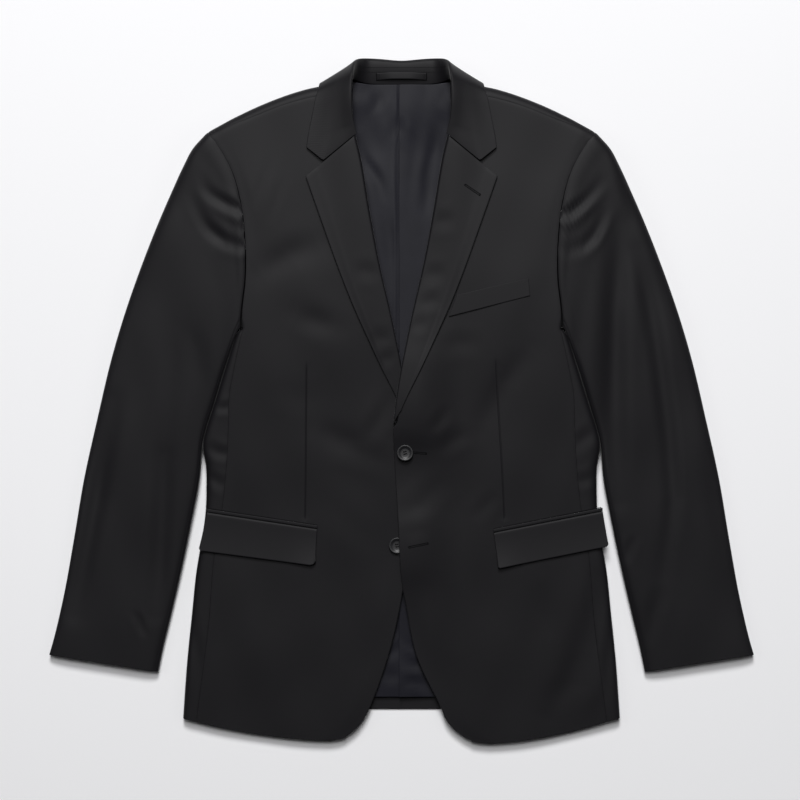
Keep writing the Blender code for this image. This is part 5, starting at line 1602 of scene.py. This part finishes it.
def stand_sewing():
    """Two rows of stitching across the collar stand, and two across each end of the loop."""
    stations = np.linspace(STAND_START, COLLAR_MIDDLE, 30)
    curves = [bezier(*collar_curves(at)[1], np.linspace(0.05, 1, 40)) for at in stations]
    parts = []
    for level in STAND_ROWS:
        spots = []
        for curve in curves:
            share = np.interp(-level, -curve[:, 1], np.arange(len(curve)))
            spots.append([np.interp(share, np.arange(len(curve)), curve[:, k]) for k in range(3)])
        half = np.array(spots) + (0, 0, 0.12)
        whole = np.concatenate([half, (half * (-1, 1, 1))[-2::-1]])
        run = np.concatenate([[0], np.cumsum(np.linalg.norm(np.diff(whole, axis=0), axis=1))])
        at = np.linspace(0, run[-1], round(run[-1] / STAND_SPACING))
        points = np.stack([np.interp(at, run, whole[:, k]) for k in range(3)], axis=1)
        parts += [stitch(a, lerp(a, b, 0.8), *STAND_THREAD) for a, b in zip(points, points[1:])]
    loop = surface_of("suiting_hanger_loop")
    middle = LOOP_Y + LOOP_LIFT
    for out, rise in LOOP_STITCHES:
        rows = np.linspace(middle - LOOP_STITCH_HALF, middle + LOOP_STITCH_HALF + rise, 5)
        for side in (LEFT, RIGHT):
            spots = [(side * out, y, loop(side * out, y) + 0.1) for y in rows]
            parts += row_of_stitches(spots, *LOOP_THREAD)
    sew("stand_sewing", parts)


# ---------------------------------------------------------------- stage

CAMERA_HEIGHT = 3.0
PICTURE_WIDTH = 0.944  # of the plane at half the garment's height
PICTURE_CENTRE = (-0.0018, 0.0012)
MIDDLE_HEIGHT = 0.011
SENSOR = 36.0
FLOOR_SIZE = 12
FLOOR_DROP = 0.0004
# Softboxes: place, diameter, and the setting that holds their power.
SOFTBOXES = {
    "softbox_behind": ((-0.1, 2.9, 3.6), 1.5, "key_power"),
    "softbox_top": ((-0.15, 1.4, 4.6), 1.6, "top_power"),
    "softbox_left": ((-3.0, 0.6, 3.0), 2.4, "left_power"),
    "softbox_right": ((3.0, 0.2, 3.0), 2.4, "fill_power"),
}


def softbox(name, place, size, power):
    """A round area light that faces the origin."""
    data = bpy.data.lights.new(name, "AREA")
    data.shape = "DISK"
    data.size = size
    data.energy = power
    light = bpy.data.objects.new(name, data)
    light.location = place
    light.rotation_euler = (-light.location).to_track_quat("-Z", "Y").to_euler()
    bpy.context.scene.collection.objects.link(light)


def stage():
    """Paper floor, softboxes, room light, and a camera that looks straight down."""
    scene = bpy.context.scene
    settings = scene.blazer_stage
    deselect()
    bpy.ops.mesh.primitive_plane_add(size=FLOOR_SIZE, location=(0, 0, -FLOOR_DROP))
    floor = bpy.context.active_object
    floor.name = "floor"
    place_at_origin(floor)
    material, _ = new_material("white_paper_sweep", {
        "Roughness": 0.9, "Specular IOR Level": 0.1, "Base Color": linear(settings.floor_colour),
    })  # fmt: skip
    floor.data.materials.append(material)
    for name, (place, size, power) in SOFTBOXES.items():
        softbox(name, place, size, getattr(settings, power))
    scene.world = bpy.data.worlds.new("studio")
    scene.world.use_nodes = True
    set_inputs(scene.world.node_tree.nodes["Background"],
               {"Color": linear("#FFFFFF"), "Strength": settings.room_light})  # fmt: skip
    data = bpy.data.cameras.new("camera")
    data.sensor_width = SENSOR
    data.lens = SENSOR * (CAMERA_HEIGHT - MIDDLE_HEIGHT) / PICTURE_WIDTH
    camera = bpy.data.objects.new("camera", data)
    camera.location = (*PICTURE_CENTRE, CAMERA_HEIGHT)
    scene.collection.objects.link(camera)
    scene.camera = camera
    scene.view_settings.view_transform = "Standard"
    scene.view_settings.look = "None"


# ---------------------------------------------------------------- add-on

def colour_property(name, description, default):
    return bpy.props.StringProperty(name=name, description=description, default=default)


def power_property(name, description, default):
    return bpy.props.FloatProperty(name=name, description=f"Power of the {description}",
                                   default=default, min=0.0, unit="POWER")  # fmt: skip


class BlazerLook(bpy.types.PropertyGroup):
    """Cloth, lining, buttons and mesh detail."""

    # The suiting's two colours paint shade in the twill's hollows and highlight on its lines
    suiting_dark_and_hollow_shade: colour_property("Suiting, dark", "Shade of the twill's hollows", SUITING_DARK_AND_HOLLOW_SHADE)
    suiting_light_and_line_highlight: colour_property("Suiting, light", "Shade of the twill's lines", SUITING_LIGHT_AND_LINE_HIGHLIGHT)
    lining_dark: colour_property("Lining, dark", "Darker shade of the satin", LINING_DARK)
    # Painted sheen on the satin's ribs
    lining_light: colour_property("Lining, light", "Lighter shade of the satin", LINING_LIGHT_AND_SHEEN)
    horn_dark: colour_property("Button, dark", "Darker cloud of the resin", HORN_DARK)
    horn_light: colour_property("Button, light", "Lighter cloud of the resin", HORN_LIGHT)
    # Near-black thread, which also paints the shade of the pocket seams
    thread_and_seam_shade_colour: colour_property("Thread", "Colour of the sewing", THREAD_AND_SEAM_SHADE)
    twill_spacing: bpy.props.FloatProperty(
        name="Twill spacing", description="Distance between the twill's lines in mm",
        default=1.5, min=0.3, max=4.0,
    )  # fmt: skip
    lining_spacing: bpy.props.FloatProperty(
        name="Lining spacing", description="Distance between the satin's ribs in mm",
        default=1.1, min=0.3, max=4.0,
    )  # fmt: skip
    button_size: bpy.props.FloatProperty(
        name="Button size", description="Diameter of the buttons",
        default=0.019, min=0.01, max=0.03, unit="LENGTH",
    )  # fmt: skip
    button_turn: bpy.props.FloatProperty(
        name="Button turn", description="Angle of the buttons' holes in degrees",
        default=12.0, min=0.0, max=90.0,
    )  # fmt: skip
    detail: bpy.props.FloatProperty(
        name="Detail", description="Share of the full number of rows and columns",
        default=0.6, min=0.1, max=1.0, subtype="FACTOR",
    )  # fmt: skip


class BlazerStage(bpy.types.PropertyGroup):
    """Floor and light."""

    floor_colour: colour_property("Floor", "Colour of the paper sweep", FLOOR)
    key_power: power_property("Key light", "softbox beyond the collar", 150.0)
    top_power: power_property("Top light", "softbox overhead", 76.0)
    left_power: power_property("Left light", "softbox at the picture's left", 10.0)
    fill_power: power_property("Right light", "softbox at the picture's right", 8.0)
    room_light: bpy.props.FloatProperty(
        name="Room light", description="Strength of the light all round", default=0.01, min=0.0,
    )  # fmt: skip


class BLAZER_OT_body(bpy.types.Operator):
    """Adds the back, side panels and fronts"""

    bl_idname = "blazer.body"
    bl_label = "Body"

    def execute(self, context):
        for name in SIDES:
            back(name)
            side_panel(name)
            front(name)
        return {"FINISHED"}


class BLAZER_OT_sleeves(bpy.types.Operator):
    """Adds the sleeves, each in a top and an under piece"""

    bl_idname = "blazer.sleeves"
    bl_label = "Sleeves"

    def execute(self, context):
        for name in SIDES:
            sleeve(name)
        return {"FINISHED"}


class BLAZER_OT_lapels(bpy.types.Operator):
    """Adds the lapels"""

    bl_idname = "blazer.lapels"
    bl_label = "Lapels"

    def execute(self, context):
        for name in SIDES:
            lapel(name)
        return {"FINISHED"}


class BLAZER_OT_collar(bpy.types.Operator):
    """Adds the collar, its stand and the hanger loop"""

    bl_idname = "blazer.collar"
    bl_label = "Collar"

    def execute(self, context):
        collar()
        hanger_loop()
        return {"FINISHED"}


class BLAZER_OT_lining(bpy.types.Operator):
    """Adds the back lining"""

    bl_idname = "blazer.lining"
    bl_label = "Lining"

    def execute(self, context):
        for name in SIDES:
            lining(name)
        return {"FINISHED"}


class BLAZER_OT_pockets(bpy.types.Operator):
    """Adds the flaps, their jets and the breast welt"""

    bl_idname = "blazer.pockets"
    bl_label = "Pockets"

    def execute(self, context):
        for name in SIDES:
            flap(name)
            jet(name)
        breast_welt()
        return {"FINISHED"}


class BLAZER_OT_buttons(bpy.types.Operator):
    """Adds the buttons with their thread"""

    bl_idname = "blazer.buttons"
    bl_label = "Buttons"

    def execute(self, context):
        button("button_upper", "horn_button_upper")
        button("button_lower", "horn_button_lower")
        return {"FINISHED"}


class BLAZER_OT_sewing(bpy.types.Operator):
    """Adds the worked buttonholes, the stand's stitching, and the pockets' stitching that paints their
    seams' shade
    """

    bl_idname = "blazer.sewing"
    bl_label = "Sewing"

    def execute(self, context):
        for name in BUTTONHOLES:
            buttonhole(name)
        for name in SIDES:
            pocket_sewing_and_shade(name)
        stand_sewing()
        return {"FINISHED"}


class BLAZER_OT_stage(bpy.types.Operator):
    """Adds the floor, the lights and the camera"""

    bl_idname = "blazer.stage"
    bl_label = "Stage"

    def execute(self, context):
        stage()
        return {"FINISHED"}


class BLAZER_PT_panel(bpy.types.Panel):
    """The sidebar's list of pieces and settings"""

    bl_idname = "BLAZER_PT_panel"
    bl_label = "Blazer"
    bl_space_type = "VIEW_3D"
    bl_region_type = "UI"
    bl_category = "Blazer"

    def draw(self, context):
        for settings in (context.scene.blazer_look, context.scene.blazer_stage):
            for key in settings.__annotations__:
                self.layout.prop(settings, key)
        for operator in OPERATORS:
            self.layout.operator(operator.bl_idname)


OPERATORS = (
    BLAZER_OT_body, BLAZER_OT_sleeves, BLAZER_OT_lapels, BLAZER_OT_collar, BLAZER_OT_lining,
    BLAZER_OT_pockets, BLAZER_OT_buttons, BLAZER_OT_sewing, BLAZER_OT_stage,
)  # fmt: skip
CLASSES = (BlazerLook, BlazerStage, *OPERATORS, BLAZER_PT_panel)


def register():
    for made in CLASSES:
        bpy.utils.register_class(made)
    bpy.types.Scene.blazer_look = bpy.props.PointerProperty(type=BlazerLook)
    bpy.types.Scene.blazer_stage = bpy.props.PointerProperty(type=BlazerStage)


def unregister():
    del bpy.types.Scene.blazer_look
    del bpy.types.Scene.blazer_stage
    for made in reversed(CLASSES):
        bpy.utils.unregister_class(made)


def main():
    register()
    bpy.ops.blazer.body()
    bpy.ops.blazer.sleeves()
    bpy.ops.blazer.lapels()
    bpy.ops.blazer.collar()
    bpy.ops.blazer.lining()
    bpy.ops.blazer.pockets()
    bpy.ops.blazer.buttons()
    bpy.ops.blazer.sewing()
    bpy.ops.blazer.stage()


if __name__ == "__main__":
    main()
